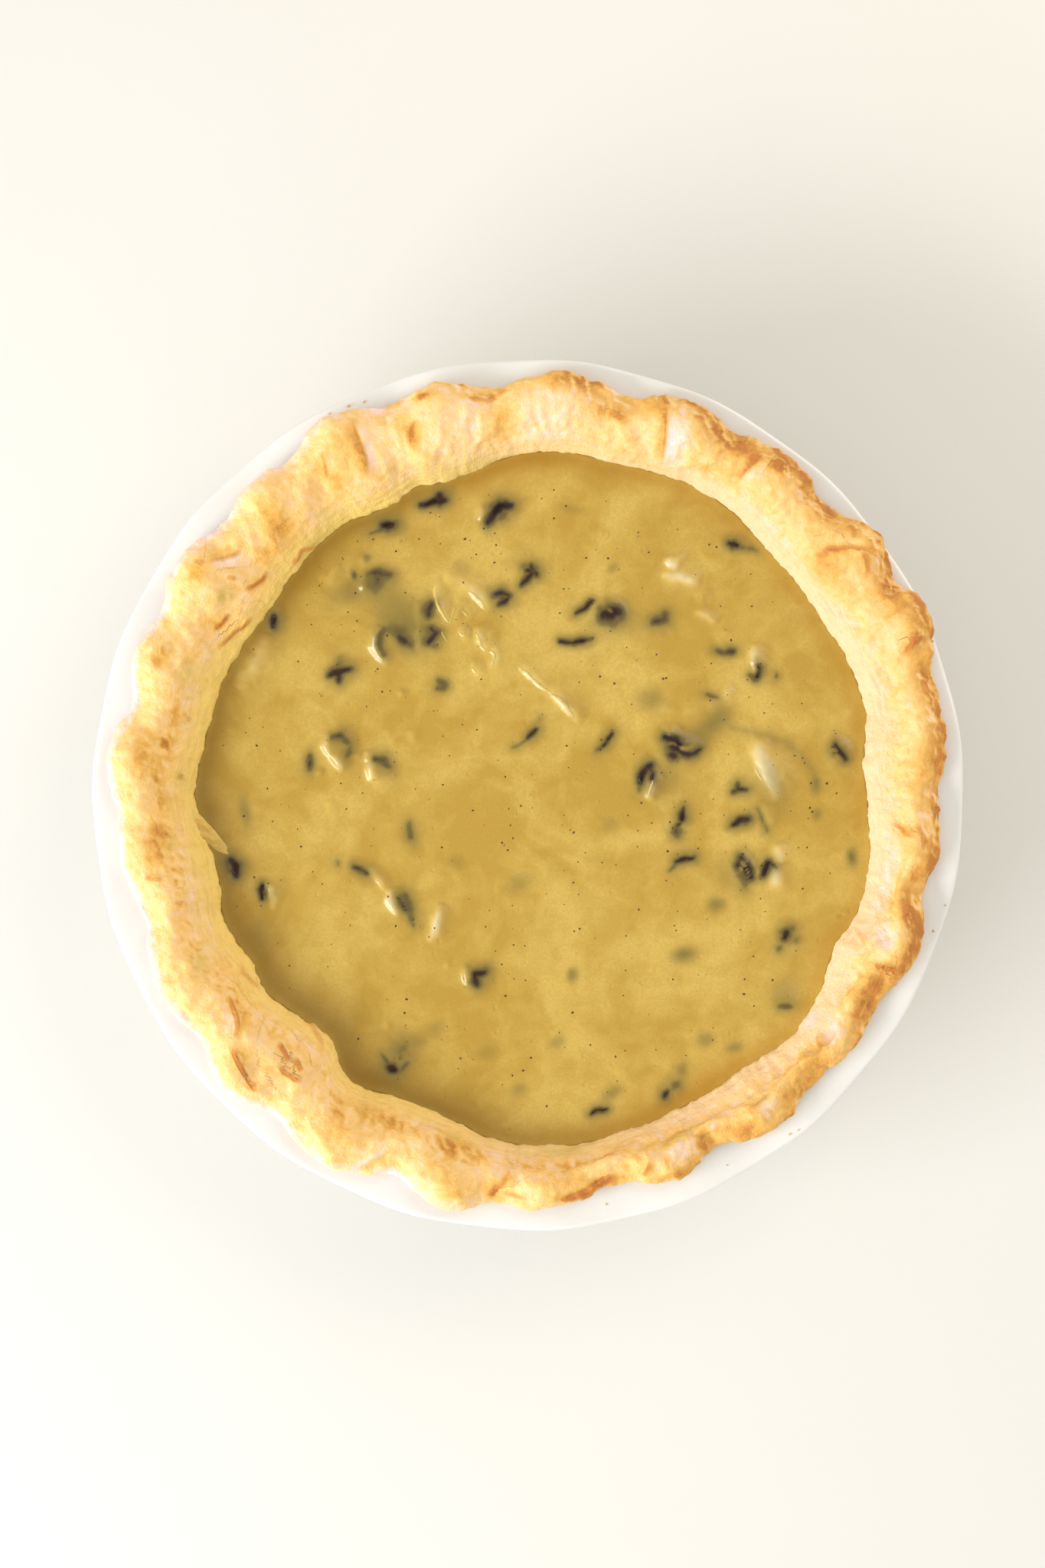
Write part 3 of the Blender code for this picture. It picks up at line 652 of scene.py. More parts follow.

# %% [markdown]
# ## Baking colours
#
# An oven browns what stands up and what is thin, so the crimps' outer edges are
# golden brown and the hollows stay cream. Where each crust is browner or paler than
# that rule is told by a table of soft spots. A second table holds the few places
# with a tint: greenish ones, and lilac-grey dabs.

# %% Toasting
# Soft spots: clock angle, radius in mm, half width in degrees, half width in mm, and
# how much browner (+) or paler (-).
TOASTED = (
    (4, 117.5, 4, 3, 0.3), (23.5, 127, 3, 3, 0.45), (29.5, 124.5, 2.6, 3, 0.55), (37.4, 113, 3, 6, 0.6),
    (35, 128, 4, 2.6, 0.5), (43, 124, 2.6, 3, 0.5), (52.6, 124.5, 1.4, 3, 0.9), (60, 122, 4.5, 3, 0.75),
    (58, 114, 2.2, 4, 0.4), (61.5, 111.5, 1, 2, 0.4), (67.2, 117, 1.7, 8, -0.7), (72.5, 122.5, 3, 3, 0.4),
    (77.5, 117.5, 2.4, 3, 0.6), (85, 125, 4, 2.6, 0.7), (87, 114, 4, 8, -0.35), (94, 113, 1.6, 6, 0.55),
    (99.5, 114, 1.6, 5, -0.55), (105, 124, 1.8, 1.6, 0.95), (103, 113, 1.5, 5, -0.2),
    (108.2, 115.5, 1.5, 4.5, 0.7), (112.4, 114, 1.7, 6, -0.55), (118, 119, 2.8, 8, 0.5),
    (122.2, 112, 2.4, 5.5, 0.55), (128, 113, 1.6, 5.5, -0.5), (132.8, 113.5, 2.4, 10, 0.85),
    (127, 121, 2, 3, 0.3), (137.2, 107.5, 2.4, 3, 0.55), (141.6, 112, 2, 4, -0.5),
    (146.5, 120, 2.4, 4, 0.8), (151.5, 110, 1.6, 2.4, 0.45), (153.5, 118, 2, 6, -0.3),
    (159.2, 118, 2, 3.6, 0.7), (165.5, 119, 2.4, 5, -0.6), (173.5, 116.4, 4.6, 3.6, 0.85),
    (171, 110, 6, 2.4, 0.5), (184, 110.4, 4, 3, 0.6), (189, 114.8, 3, 3.4, 0.7), (198, 118, 3, 6, -0.45),
    (208, 113.4, 3, 5, 0.3), (208.2, 123.2, 1.4, 1, 0.45), (214, 105.5, 5, 3, 0.45),
    (222.5, 115.6, 2, 3, 0.45), (226.4, 113.6, 1.8, 1.6, 0.4), (226.4, 121.4, 1.6, 1.4, 0.5),
    (233.4, 115, 1.7, 7, -0.55), (240.6, 114.5, 3.4, 7.5, 0.55), (241.5, 123.6, 2, 2, 0.35),
    (246.6, 107.5, 3.4, 4, 0.4), (252.2, 118, 1.7, 7, -0.6), (257, 113, 3.2, 6, 0.55),
    (259.5, 121.4, 2.6, 3, 0.5), (264.8, 119.2, 1.8, 4, 0.8), (258.4, 107.4, 3, 2.4, 0.5),
    (263.5, 113, 2.2, 3, -0.4), (276, 121.6, 2.6, 1.4, 0.75), (281, 118.6, 2.6, 1.6, 0.85),
    (275.4, 116, 4, 4, 0.35), (284.4, 109.6, 2.6, 1.4, 0.6), (285.6, 116, 2, 3, 0.3),
    (291.4, 122.4, 3, 1.6, 0.6), (293.3, 116.4, 1.8, 3, -0.6), (291, 112.6, 3, 1.4, 0.4),
    (297, 116, 1.4, 4, 0.55), (303.4, 119.6, 2, 3.2, 0.6), (307.4, 117.4, 1.8, 2, -0.4),
    (312.4, 119.6, 3, 3.6, 0.4), (317.6, 119, 1.8, 4, 0.6), (322.4, 116.8, 1.8, 2.6, -0.5),
    (330.4, 117.2, 3, 3, 0.65), (327.6, 120.4, 3, 2, 0.5), (338, 123.8, 3.6, 2, 0.95),
    (338, 116, 2.4, 3, -0.5), (344.4, 117.6, 2.4, 2.8, 0.65), (351, 122.4, 2.4, 1.6, 0.8),
    (352, 116.4, 1.6, 1.6, 0.2), (358.4, 124.2, 1.8, 1.4, 0.75), (347, 111.4, 5, 2.4, -0.3),
    (10, 124.6, 7, 2.6, 0.5), (16, 124.4, 3, 3, 0.35), (47, 124, 2, 2.4, 0.4),
)
# Tints: clock angle, radius in mm, half width in degrees, half width in mm, and
# greenish (+) or lilac-grey (-).
TINTED = (
    (147, 109.6, 1.4, 2, 0.8), (160.5, 109.6, 2.6, 2.4, 0.5), (207, 110.8, 2, 2.4, 0.5),
    (187.5, 109.4, 2, 2, 0.35), (112.4, 106.2, 2, 1.4, 0.5), (125.6, 105.4, 1.6, 1.4, 0.5),
    (177, 105.8, 1, 1.2, 0.8), (293.4, 112.8, 2.6, 1, 0.7), (307.4, 115.2, 2.2, 0.7, 0.7),
    (276, 109, 3.6, 1.2, 0.6), (257.6, 106, 1, 1.2, 0.5), (97, 100.8, 11, 2.6, 0.5),
    (72, 107.4, 8, 2.0, 0.4), (128, 100.6, 7, 2.2, 0.4), (299.2, 113.8, 0.45, 0.7, -1.0),
    (321.4, 110.2, 1.7, 1.6, -0.9), (222.6, 110, 1.2, 1.4, -0.35),
)


def spots(table, degrees, radius):
    """The sum over a table of soft spots: each adds its last number times
    exp(-(angle away / half width)^2 - (radius away / half width)^2)."""
    total = np.zeros(np.broadcast(degrees, radius).shape)
    for angle, reach, half_angle, half_reach, amount in table:
        turn = (degrees - angle + 180) % 360 - 180
        total += amount * np.exp(-((turn / half_angle) ** 2) - ((radius - reach) / half_reach) ** 2)
    return total


print(len(TOASTED), "toasted or pale spots and", len(TINTED), "tinted ones.")

# %% [markdown]
# ## The pastry's skin
#
# Over the form come, from large to small: the lumps of hand-pressed dough, creases
# where the fingers pinched, puffed blisters, the layered edge of the flakes, and
# the tears. They all move a point along the surface's own normal. The number
# called toast, from 0 for raw cream to 1 for dark golden brown, goes with each
# point for the shader. It also carries painted light and shade: slopes lit by the
# window are painted paler, and slopes turned from it or in the crest's shadow,
# folds and creases more golden.

# %% Pastry skin
# How far each kind of relief stands out or goes in, in mm.
LUMP, SWELL, PUFF, SMALL_PUFF, STREAK = 0.9, 0.45, 0.75, 0.42, 0.3
CREASE_DEPTH, FOLD, FINE_FOLD, TEAR_CUT = 0.9, 0.5, 0.26, 0.9
LEAF_STEP = 1.9  # mm from one leaf of the wall to the next
LEAF_RISE = 0.1  # mm
CREASE_HALF_WIDTH = 2.0  # degrees
RIM_RADIUS = 116.0  # mm, at the middle of the rim
FILL_SHARE = 0.5  # light from all round, as a share of the window's
# how strongly the window's painted light and shade change the toast
FACING_TOAST = 1.0
LEAST_TOAST = 0.4  # painted shade: least toast where turned from the window or in the crest's shadow, most on the window's half
PATCHY_SHARE = 0.38  # how much of the puffs' own unevenness shows as colour
TEAR_HALF_WIDTH = 0.75  # mm, as wide as the mesh can carry; the shader draws the rest

# Toast from the wall over the crest to the outer edge, by knot, for the half away from
# the window (right), browner outside, and the half on the window's side, browner inside.
# Partly real browning of the outer edge, partly painted light and shade: faces lit by
# the window are paler, faces turned from it browner.
HOT_HALF = ((0.0, 0.10), (2.6, 0.26), (3.4, 0.36), (4.2, 0.35), (5.0, 0.43), (6.2, 0.58), (8.0, 0.62))
COOL_HALF = ((0.0, 0.40), (2.6, 0.30), (3.6, 0.28), (5.0, 0.20), (5.8, 0.05), (6.6, 0.0), (8.0, 0.02))
# Greenish (+) or lilac-grey (-) tint of the raw wall by clock angle. The greenish olive on the window's side,
# where the wall is turned from the window, is partly painted shade.
BUTTERY = (
    (70, 0.0), (120, 0.2), (190, 0.2), (220, -0.05), (290, -0.05), (320, 0.0),
)
# Share of the pie on the window's side by clock angle: 0 on the far half, 1 on the window's half.
COOL_SHARE = (
    (60, 0.0), (90, 0.35), (120, 0.9), (180, 1.0), (245, 0.95), (275, 0.45), (300, 0.1), (330, 0.0),
)

grid = polar(crust_degrees, crust_profile[..., 0], crust_profile[..., 1])
normals = surface_normals(grid)
radius = crust_profile[..., 0] / MM
height = crust_profile[..., 1] / MM
knot = np.broadcast_to(row_places[:, None], radius.shape)
hot, cool = (np.interp(knot, *np.array(rows).T) for rows in (HOT_HALF, COOL_HALF))
around = np.broadcast_to(crust_degrees, radius.shape)
on_rim = smooth_step(2.2, 3.2, knot) * (1 - smooth_step(7.0, 8.0, knot))
on_wall = smooth_step(0.9, 1.3, knot) * (1 - smooth_step(2.4, 3.4, knot))
outside = smooth_step(5.8, 6.6, knot)
settled = smooth_step(0.0, 1.0, knot) * (1 - smooth_step(7.2, 8.0, knot))

middle = grid / MM
turn = np.radians(around)
layered = np.stack((5.0 * np.cos(turn), 5.0 * np.sin(turn), height / 0.95 + radius / 3.0), axis=-1)
creases = np.zeros(radius.shape)
for number, (angle, *_) in enumerate(CRIMPS):
    after_angle = CRIMPS[(number + 1) % len(CRIMPS)][0]
    dip_angle = angle + (after_angle - angle) % 360 / 2
    lean = 1.6 * (knot - 5.0) * (-1) ** number
    away = ((around - dip_angle - lean + 180) % 360 - 180) / CREASE_HALF_WIDTH
    creases += np.exp(-(away**2))
tear_side, tear_strength, tear_pale, layer_lift = tear_fields(middle[..., 0], middle[..., 1])
tear_cut = np.exp(-((tear_side / TEAR_HALF_WIDTH) ** 2)) * tear_strength

# Puffs lie long way across the rim, so they are laid out on arc and radius.
across_rim = np.stack((np.radians(around) * RIM_RADIUS, radius / 1.7, 0.6 * height), axis=-1)
across_rim[..., 0] += 1.6 * hills(middle, 11.0, 71)
domes = blisters(across_rim, 5.6, 31)
small_domes = blisters(across_rim * (1.0, 1.3, 1.0), 2.7, 47)
streaks = hills(across_rim * (1.0, 0.55, 1.0), 3.6, 83, 2)
lumps = hills(middle, 13.0, 5, 2)
cool_share = eased(COOL_SHARE, crust_degrees)[None]
calm = 1 - 0.4 * cool_share  # the half on the window's side puffed and wrinkled less
relief = LUMP * lumps * on_rim
relief += SWELL * hills(middle, 6.0, 9, 2) * settled
relief -= CREASE_DEPTH * creases * on_rim
folds = wrinkles(across_rim * (1.0, 0.6, 1.0), 6.0, 141)
fine_folds = wrinkles(middle, 3.4, 143)
relief += (PUFF * domes + SMALL_PUFF * small_domes * calm + STREAK * streaks * calm) * on_rim
relief -= (FOLD * folds * on_rim + FINE_FOLD * fine_folds * settled) * calm
relief += 0.26 * hills(layered, 1.0, 21, 2) * np.maximum(0.5 * on_wall, outside) * settled
relief += 0.24 * hills(middle, 1.8, 15, 2) * settled
relief -= 0.2 * wrinkles(across_rim * (1.0, 0.4, 0.5), 3.0, 147) * on_wall

# The wall on the left shows its leaves: each stands out at its lower edge, where
# the number called leaf is a whole one, and falls back to the next.
leaf = (height - CUSTARD_LEVEL / MM) / LEAF_STEP + 1.7 * hills(middle, 18.0, 161, 2)
leaf_share = leaf - np.floor(leaf)
broken = smooth_step(-0.35, 0.25, hills(middle, 12.0, 163, 2))
terraces = (1 - leaf_share) * smooth_step(0.0, 0.2, leaf_share) * broken * on_wall
relief += LEAF_RISE * terraces * (0.3 + 0.7 * cool_share)
relief += (layer_lift - TEAR_CUT * tear_cut) * settled
seams = smooth_step(0.2, 1.0, knot) * (1 - smooth_step(7.6, 8.0, knot))
grid = grid + normals * (relief * MM * seams)[..., None]

# Painted light and shade: slopes that face the window are painted paler, and those turned from it a deeper
# golden.
slope, way = math.radians(LIGHTS[0][2]), math.radians(LIGHTS[0][1])
to_window = np.array((math.sin(slope) * math.cos(way), math.sin(slope) * math.sin(way), math.cos(slope)))
bright, plain_bright = (
    FILL_SHARE + np.maximum(n @ to_window, 0.0) for n in (surface_normals(grid), normals)
)
facing = np.log(bright / plain_bright)
toast = hot * (1 - cool_share) + cool * cool_share
toast -= FACING_TOAST * facing * on_rim
# Painted shade: creases are painted a little more golden.
toast += 0.05 * creases * on_rim
# Puffs are painted paler and the folds between them more golden: partly uneven baking, partly painted light
# on the puffs and painted shade in the folds.
patchy = 0.20 * hills(middle, 7.0, 77, 3) - 0.22 * domes - 0.16 * small_domes - 0.12 * streaks
patchy = patchy + 0.16 * folds + 0.10 * fine_folds + 0.01
usual = (patchy * on_rim).sum() / on_rim.sum()
toast += (usual + PATCHY_SHARE * (patchy - usual)) * on_rim
# Painted shade: the wall's wrinkle grooves are painted more golden.
toast += 0.15 * wrinkles(across_rim * (1.0, 0.4, 0.5), 3.0, 147) * on_wall
toast += 0.6 * spots(TOASTED, around, radius)
# A browner band along each tear: partly browned dough, partly painted shade beside the crack.
toast += 0.45 * tear_strength * np.exp(-((tear_side / 1.5) ** 2))
# Painted shadow: on the window's side the inner rim lies in the crest's shadow. There and on dim slopes the
# toast is painted no paler than a shaded golden.
toward = np.cos(np.radians(around - LIGHTS[0][1]))
behind = smooth_step(-0.1, 0.5, toward) * (1 - smooth_step(4.4, 5.6, knot))
# Slopes lit by the window and out of the crest's shadow get a painted highlight in the shader.
lit = smooth_step(0.95, 1.45, bright) * (1 - behind)
dim = np.maximum(1 - smooth_step(0.85, 1.1, bright), behind)
toast = np.maximum(toast, LEAST_TOAST * (0.4 + 0.6 * cool_share) * dim * on_rim * (1 - outside))
toast = np.clip(toast, 0.0, 1.15)
raw = (1 - smooth_step(1.6, 3.0, knot + 0.5 * hills(middle, 6.0, 19, 2))) * (0.92 - 0.2 * small_domes)
tint = spots(TINTED, around, radius) + eased(BUTTERY, crust_degrees) * raw
steps = np.diff(crust_profile, axis=0, prepend=crust_profile[:1])
path = np.cumsum(np.hypot(steps[..., 0], steps[..., 1]), axis=0) / MM
flaky = np.maximum(on_wall * (0.55 + 0.45 * cool_share), (0.8 - 0.4 * cool_share) * outside)

under, inside = (polar(crust_degrees, p[..., 0], p[..., 1]) for p in hidden_profile(crust_degrees))
skin = np.concatenate((inside, grid, under))
rows = len(skin)


def with_hidden(values, empty=0.0):
    """A value for every point of the whole skin: the given ones where the pastry
    shows, and the empty one elsewhere, with the two poles last."""
    whole = np.full((rows, CRUST_COLUMNS), empty)
    whole[len(inside) : len(inside) + len(grid)] = values
    return np.append(whole.ravel(), (empty, empty))


crust_points = np.vstack((skin.reshape(-1, 3), (0, 0, 9.3 * MM), (0, 0, 5.3 * MM)))
crust_faces = [face[::-1] for face in closed_faces(rows, CRUST_COLUMNS)]
print(f"The pastry's skin has {rows} rows and relief of {relief.min():.2f} to {relief.max():.2f} mm.")

# %% [markdown]
# ## The pastry's finish
#
# Baked short pastry is matt where it is dry and has a faint sheen where the butter
# came out. A colour runs from cream through gold to brown with the toast number. The
# grain of the flour, under a millimetre, is only bump: the mesh carries the rest.

# %% Pastry material
# Baked short pastry: cream to golden brown, dry and matt with a buttery sheen, and
# a little light passes through its crumb.
pastry, tree, shader = new_material("baked_short_pastry")
place = add_node(tree, "TexCoord").outputs["Object"]
READS = (
    "toast", "tint", "tear_side", "tear_depth", "tear_pale", "raw", "cool_side", "lit", "path", "flaky",
)
(
    toast_read, tint_read, side_read, depth_read, pale_read, raw_read, cool_read, lit_read, path_read,
    flaky_read,
) = (
    add_node(tree, "Attribute", attribute_name=name).outputs["Fac"] for name in READS
)
freckles = add_node(
    tree, "TexNoise", {"Vector": place, "Scale": per_mm(2.2), "Detail": 4.0, "Roughness": 0.6}
)
mottle = add_node(tree, "MapRange", {"Value": freckles, 1: 0.3, 2: 0.7, 3: -0.13, 4: 0.13})
baked = add_node(tree, "Math", {0: toast_read, 1: mottle}, operation="ADD")
# Painted light and shade across a flake's step: one side of a tear is painted paler than the other, partly
# the flake's own colour.
left_of_tear = add_node(tree, "MapRange", {"Value": side_read, 1: -0.3, 2: 0.3, 3: 0.5, 4: -0.5})
away = add_node(tree, "Math", {0: side_read}, operation="ABSOLUTE")
close_by = add_node(
    tree, "MapRange", {"Value": away, 1: 0.8, 2: 4.5, 3: 1.0, 4: 0.0}, interpolation_type="SMOOTHSTEP"
)
step_size = add_node(tree, "Math", {0: close_by, 1: pale_read}, operation="MULTIPLY")
stepped = add_node(tree, "Math", {0: left_of_tear, 1: step_size, 2: baked}, operation="MULTIPLY_ADD")
ramp = add_node(tree, "ValToRGB", {"Fac": stepped})
stops = (
    (0.0, "#F4D6CC"), (0.2, "#F3D0A6"), (0.38, "#F3C87E"),
    (0.55, "#ECBC66"), (0.75, "#E1A948"), (1.0, "#C27C2C"),
)
while len(ramp.color_ramp.elements) < len(stops):
    ramp.color_ramp.elements.new(0.5)
for element, (position, colour) in zip(ramp.color_ramp.elements, stops):
    element.position, element.color = position, linear(colour)
greenish = add_node(tree, "Math", {0: tint_read, 1: 0.0}, operation="MAXIMUM")
lilac = add_node(tree, "Math", {0: tint_read, 1: -1.0}, operation="MULTIPLY")
# The leaves of the dough: a noise drawn out along the rim, because its x and y are
# shrunk and its third coordinate is the way across the rim.
spread = add_node(tree, "VectorMath", {0: place, 1: (per_mm(5.5), per_mm(5.5), 0.0)}, operation="MULTIPLY")
across = add_node(tree, "CombineXYZ", {"Z": path_read})
leaf_place = add_node(tree, "VectorMath", {0: spread, 1: across}, operation="ADD")
leaves = add_node(
    tree, "TexNoise",
    {"Vector": leaf_place, "Scale": 0.85, "Detail": 3.0, "Roughness": 0.6, "Distortion": 0.3},
)
# Painted shade in the gaps between the leaves: there the dough is mixed toward a deeper golden.
between = add_node(tree, "MapRange", {"Value": leaves, 1: 0.52, 2: 0.34, 3: 0.0, 4: 0.26})
between_share = add_node(tree, "Math", {0: between, 1: flaky_read}, operation="MULTIPLY")
# The raw dough of the wall: cream on the half away from the window, and a deeper yellow on the window's side,
# where the wall is turned from the window; that yellow is partly painted shade.
dough = add_node(
    tree, "Mix", {"Factor": cool_read, "A": linear("#EFCB95"), "B": linear("#F1CC68")}, data_type="RGBA"
)
floured = ramp
for share, tone in (
    (raw_read, dough), (between_share, linear("#C0903C")), (greenish, linear("#CDB55C")),
    (lilac, linear("#E2D0BC")),
):
    floured = add_node(tree, "Mix", {"Factor": share, "A": floured, "B": tone}, data_type="RGBA")
# The half away from the window is tinted a faint cool white.
bloom = add_node(
    tree, "Mix", {"Factor": cool_read, "A": linear("#FAF8FF"), "B": linear("#FFFFFF")}, data_type="RGBA"
)
bloomed = add_node(
    tree, "Mix", {"Factor": 1.0, "A": floured, "B": bloom}, data_type="RGBA", blend_type="MULTIPLY"
)
# Painted highlight: slopes lit by the window are tinted a rosier white.
rosy = add_node(
    tree, "Mix", {"Factor": lit_read, "A": bloomed, "B": linear("#FFDBFF")}, data_type="RGBA",
    blend_type="MULTIPLY",
)
# Each tear is drawn as a thin dark line: painted shade in the crack, partly browned dough. The same line
# sinks in as bump.
hairline = add_node(
    tree, "MapRange", {"Value": away, 1: 0.15, 2: 1.0, 3: 1.0, 4: 0.0}, interpolation_type="SMOOTHSTEP"
)
tear_ink = add_node(tree, "Math", {0: hairline, 1: depth_read}, operation="MULTIPLY", use_clamp=True)
torn = add_node(tree, "Mix", {"Factor": tear_ink, "A": rosy, "B": linear("#C87A2C")}, data_type="RGBA")
grain = add_node(
    tree, "TexNoise", {"Vector": place, "Scale": per_mm(0.9), "Detail": 3.0, "Roughness": 0.65}
)
groove = add_node(tree, "Math", {0: tear_ink, 1: -1.6}, operation="MULTIPLY")
leaf_relief = add_node(tree, "Math", {0: leaves, 1: flaky_read}, operation="MULTIPLY")
crumb_relief = add_node(tree, "Math", {0: leaf_relief, 1: 1.4, 2: grain}, operation="MULTIPLY_ADD")
depth_of_all = add_node(tree, "Math", {0: groove, 1: crumb_relief}, operation="ADD")
bump = add_node(tree, "Bump", {"Height": depth_of_all, "Strength": 0.75, "Distance": 0.42 * MM})
plug(
    tree, shader,
    {
        "Base Color": torn, "Normal": bump, "Roughness": 0.55, "Subsurface Weight": 0.18,
        "Subsurface Radius": (1.0, 0.55, 0.25), "Subsurface Scale": 2.0 * MM,
    },
)

crust = new_piece(
    "pinched_crust", crust_points, crust_faces, pastry, "pastry", ["crust"], toast=with_hidden(toast, 0.3),
    tint=with_hidden(tint), tear_side=with_hidden(tear_side, 9.0), tear_depth=with_hidden(tear_strength),
    tear_pale=with_hidden(tear_pale), raw=with_hidden(raw, 0.8),
    cool_side=with_hidden(np.broadcast_to(cool_share, radius.shape)), path=with_hidden(path),
    flaky=with_hidden(flaky), lit=with_hidden(lit * on_rim),
)
print("The pastry has", len(crust.data.polygons), "faces.")

# %% [markdown]
# ## A fold of dough
#
# On the left a tongue of spare dough was pressed down from the wall and lies on the
# custard's edge. It is a flattened tube along a line of five points that gets
# narrower to its tip and starts inside the wall, so that the two look like one.

# %% Fold of dough
FOLD_LINE = ((-104.5, -5.0), (-100.6, -9.4), (-97.0, -13.0), (-93.6, -16.2), (-90.8, -18.6))
FOLD_HALF_WIDTHS = (2.8, 2.7, 2.3, 1.6, 0.4)  # mm, at the line's points
FOLD_HEIGHTS = (1.6, 0.5, 0.15, -0.05, -0.3)  # mm of its middle above the custard
FOLD_THICKNESS = 0.7  # mm, half of it at the thickest
FOLD_ALONG = 60
FOLD_AROUND = 32

fold_knots = np.column_stack((FOLD_LINE, FOLD_HEIGHTS, FOLD_HALF_WIDTHS))
fold_path = spline_rows(fold_knots[:, None], np.linspace(0, len(FOLD_LINE) - 1, FOLD_ALONG))[:, 0]
way = np.gradient(fold_path[:, :2], axis=0)
way = way / np.linalg.norm(way, axis=1, keepdims=True)
turn = np.arange(FOLD_AROUND) * 2 * np.pi / FOLD_AROUND
round_end = np.sqrt(1 - np.linspace(-1, 1, FOLD_ALONG) ** 6 * 0.96)[:, None]
out = np.cos(turn) * fold_path[:, 3:] * round_end
up = np.sin(turn) * FOLD_THICKNESS * (fold_path[:, 3:] / max(FOLD_HALF_WIDTHS)) ** 0.5 * round_end
fold_points = np.stack(
    (
        fold_path[:, :1] - way[:, 1:] * out,
        fold_path[:, 1:2] + way[:, :1] * out,
        CUSTARD_LEVEL / MM + fold_path[:, 2:3] + up,
    ),
    axis=-1,
)
streaky = fold_points @ np.array(((0.5, 0.5, 0.0), (-0.5, 1.3, 0.0), (0.0, 0.0, 1.0)))
fold_points = fold_points + 0.5 * hills(streaky, 2.0, 401, 3)[..., None] * np.array((0.5, 0.5, 1.0))
fold_toast = 0.78 + 0.3 * hills(streaky, 1.6, 403, 2) + 0.3 * np.linspace(-0.5, 1, FOLD_ALONG)[:, None]
fold_toast = np.append(fold_toast.ravel(), (0.4, 0.6))
fold_ends = (fold_points[0].mean(axis=0), fold_points[-1].mean(axis=0))
fold = new_piece(
    "dough_fold", np.vstack((fold_points.reshape(-1, 3), *fold_ends)) * MM,
    closed_faces(FOLD_ALONG, FOLD_AROUND), pastry, "pastry", toast=fold_toast,
    tint=np.append(np.repeat(np.linspace(0.2, 0.8, FOLD_ALONG), FOLD_AROUND), (0.2, 0.8)),
    raw=np.append(np.repeat(np.linspace(0.4, 0.0, FOLD_ALONG), FOLD_AROUND), (0.4, 0.0)),
    flaky=np.full(len(fold_toast), 1.0),
    path=np.append((fold_path[:, 3:] * np.cos(turn)).ravel() * 0.8, (0.0, 0.0)),
    cool_side=np.full(len(fold_toast), 1.0), tear_side=np.full(len(fold_toast), 9.0),
)
print("The fold of dough has", len(fold.data.polygons), "faces.")

# %% [markdown]
# ## The raisins' places
#
# Thirty-three raisins break the custard's surface, and the plain model holds each
# of them. The same table places them here, with two numbers more: how far each one
# curves, and how dark it looks through the thin skin of custard that runs over its
# edge. A second table holds those that lie wholly under the surface and only show
# as dim grey-green clouds, some under a low mound.

# %% Raisin tables
# Raisins at the surface: x, y, length, width in mm, clock angle of the long way, how
# far the top stands out in mm, how far the long way curves in mm, and darkness.
RAISINS = (
    (-28.6, 89.0, 10.5, 5.6, 30, 0.6, 0.6, 1.0),
    (-42.6, 81.2, 9.0, 6.4, 5, 0.6, 0.3, 1.0),
    (-9.1, 86.5, 13.0, 8.4, 40, 1.1, -0.8, 1.0),
    (0.7, 66.9, 11.5, 7.2, 50, 0.7, -1.0, 0.85),
    (-7.7, 60.1, 9.4, 7.4, -10, 0.9, 0.3, 0.85),
    (-29.9, 56.6, 7.0, 6.0, 90, 0.7, 0.0, 0.8),
    (-29.5, 47.9, 8.4, 7.0, 40, 0.8, 0.4, 0.85),
    (-76.4, 52.5, 6.6, 4.4, 80, 0.7, 0.0, 1.0),
    (-57.7, 37.4, 9.6, 7.2, 25, 0.9, 0.0, 0.95),
    (17.0, 57.4, 6.6, 4.0, 38, 0.5, 0.3, 0.85),
    (25.0, 55.2, 9.2, 8.0, 8, 1.3, 0.0, 1.0),
    (14.3, 46.8, 11.5, 5.6, 4, 0.4, 0.4, 0.85),
    (63.4, 76.2, 9.0, 6.2, -15, 0.6, 0.0, 0.8),
    (69.4, 37.2, 8.0, 6.8, 60, 0.7, 1.0, 0.7),
    (1.6, 18.9, 9.6, 5.6, 50, 0.4, 0.2, 0.7),
    (23.6, 16.6, 10.4, 5.8, 58, 0.4, 0.2, 0.75),
    (45.8, 14.5, 14.0, 8.6, -15, 1.5, 1.2, 0.9),
    (35.5, 5.8, 11.0, 7.2, 100, 1.1, 0.5, 0.95),
    (94.6, 13.1, 9.4, 7.4, -50, 1.2, -0.3, 0.85),
    (64.5, 1.9, 9.0, 7.0, 10, 0.6, 0.4, 0.75),
    (65.0, -8.2, 10.4, 6.2, 15, 0.6, 0.4, 0.8),
    (46.3, -7.9, 12.0, 6.4, 75, 0.6, 0.3, 0.85),
    (47.7, -19.6, 10.4, 5.6, 15, 0.4, -0.8, 0.8),
    (65.5, -22.2, 9.8, 6.4, -60, 1.4, 0.4, 1.0),
    (72.8, -22.4, 6.4, 4.8, 70, 1.0, 0.0, 0.9),
    (-88.6, -22.3, 7.6, 6.4, -45, 0.9, 0.3, 1.0),
    (-81.1, -29.9, 6.6, 5.2, 100, 0.6, 0.4, 1.0),
    (-51.0, -22.9, 8.6, 6.0, -25, 0.4, 0.0, 0.7),
    (-15.2, -55.6, 9.6, 8.4, 60, 1.0, -0.5, 0.95),
    (-41.4, -81.8, 10.4, 9.2, 20, 0.7, 0.8, 1.0),
    (43.6, -88.2, 12.0, 6.6, 55, 0.6, 0.4, 0.7),
    (21.3, -96.2, 9.4, 6.0, 20, 0.4, 0.2, 0.7),
    (78.8, -43.0, 9.6, 8.0, 70, 0.8, 0.4, 0.9),
)
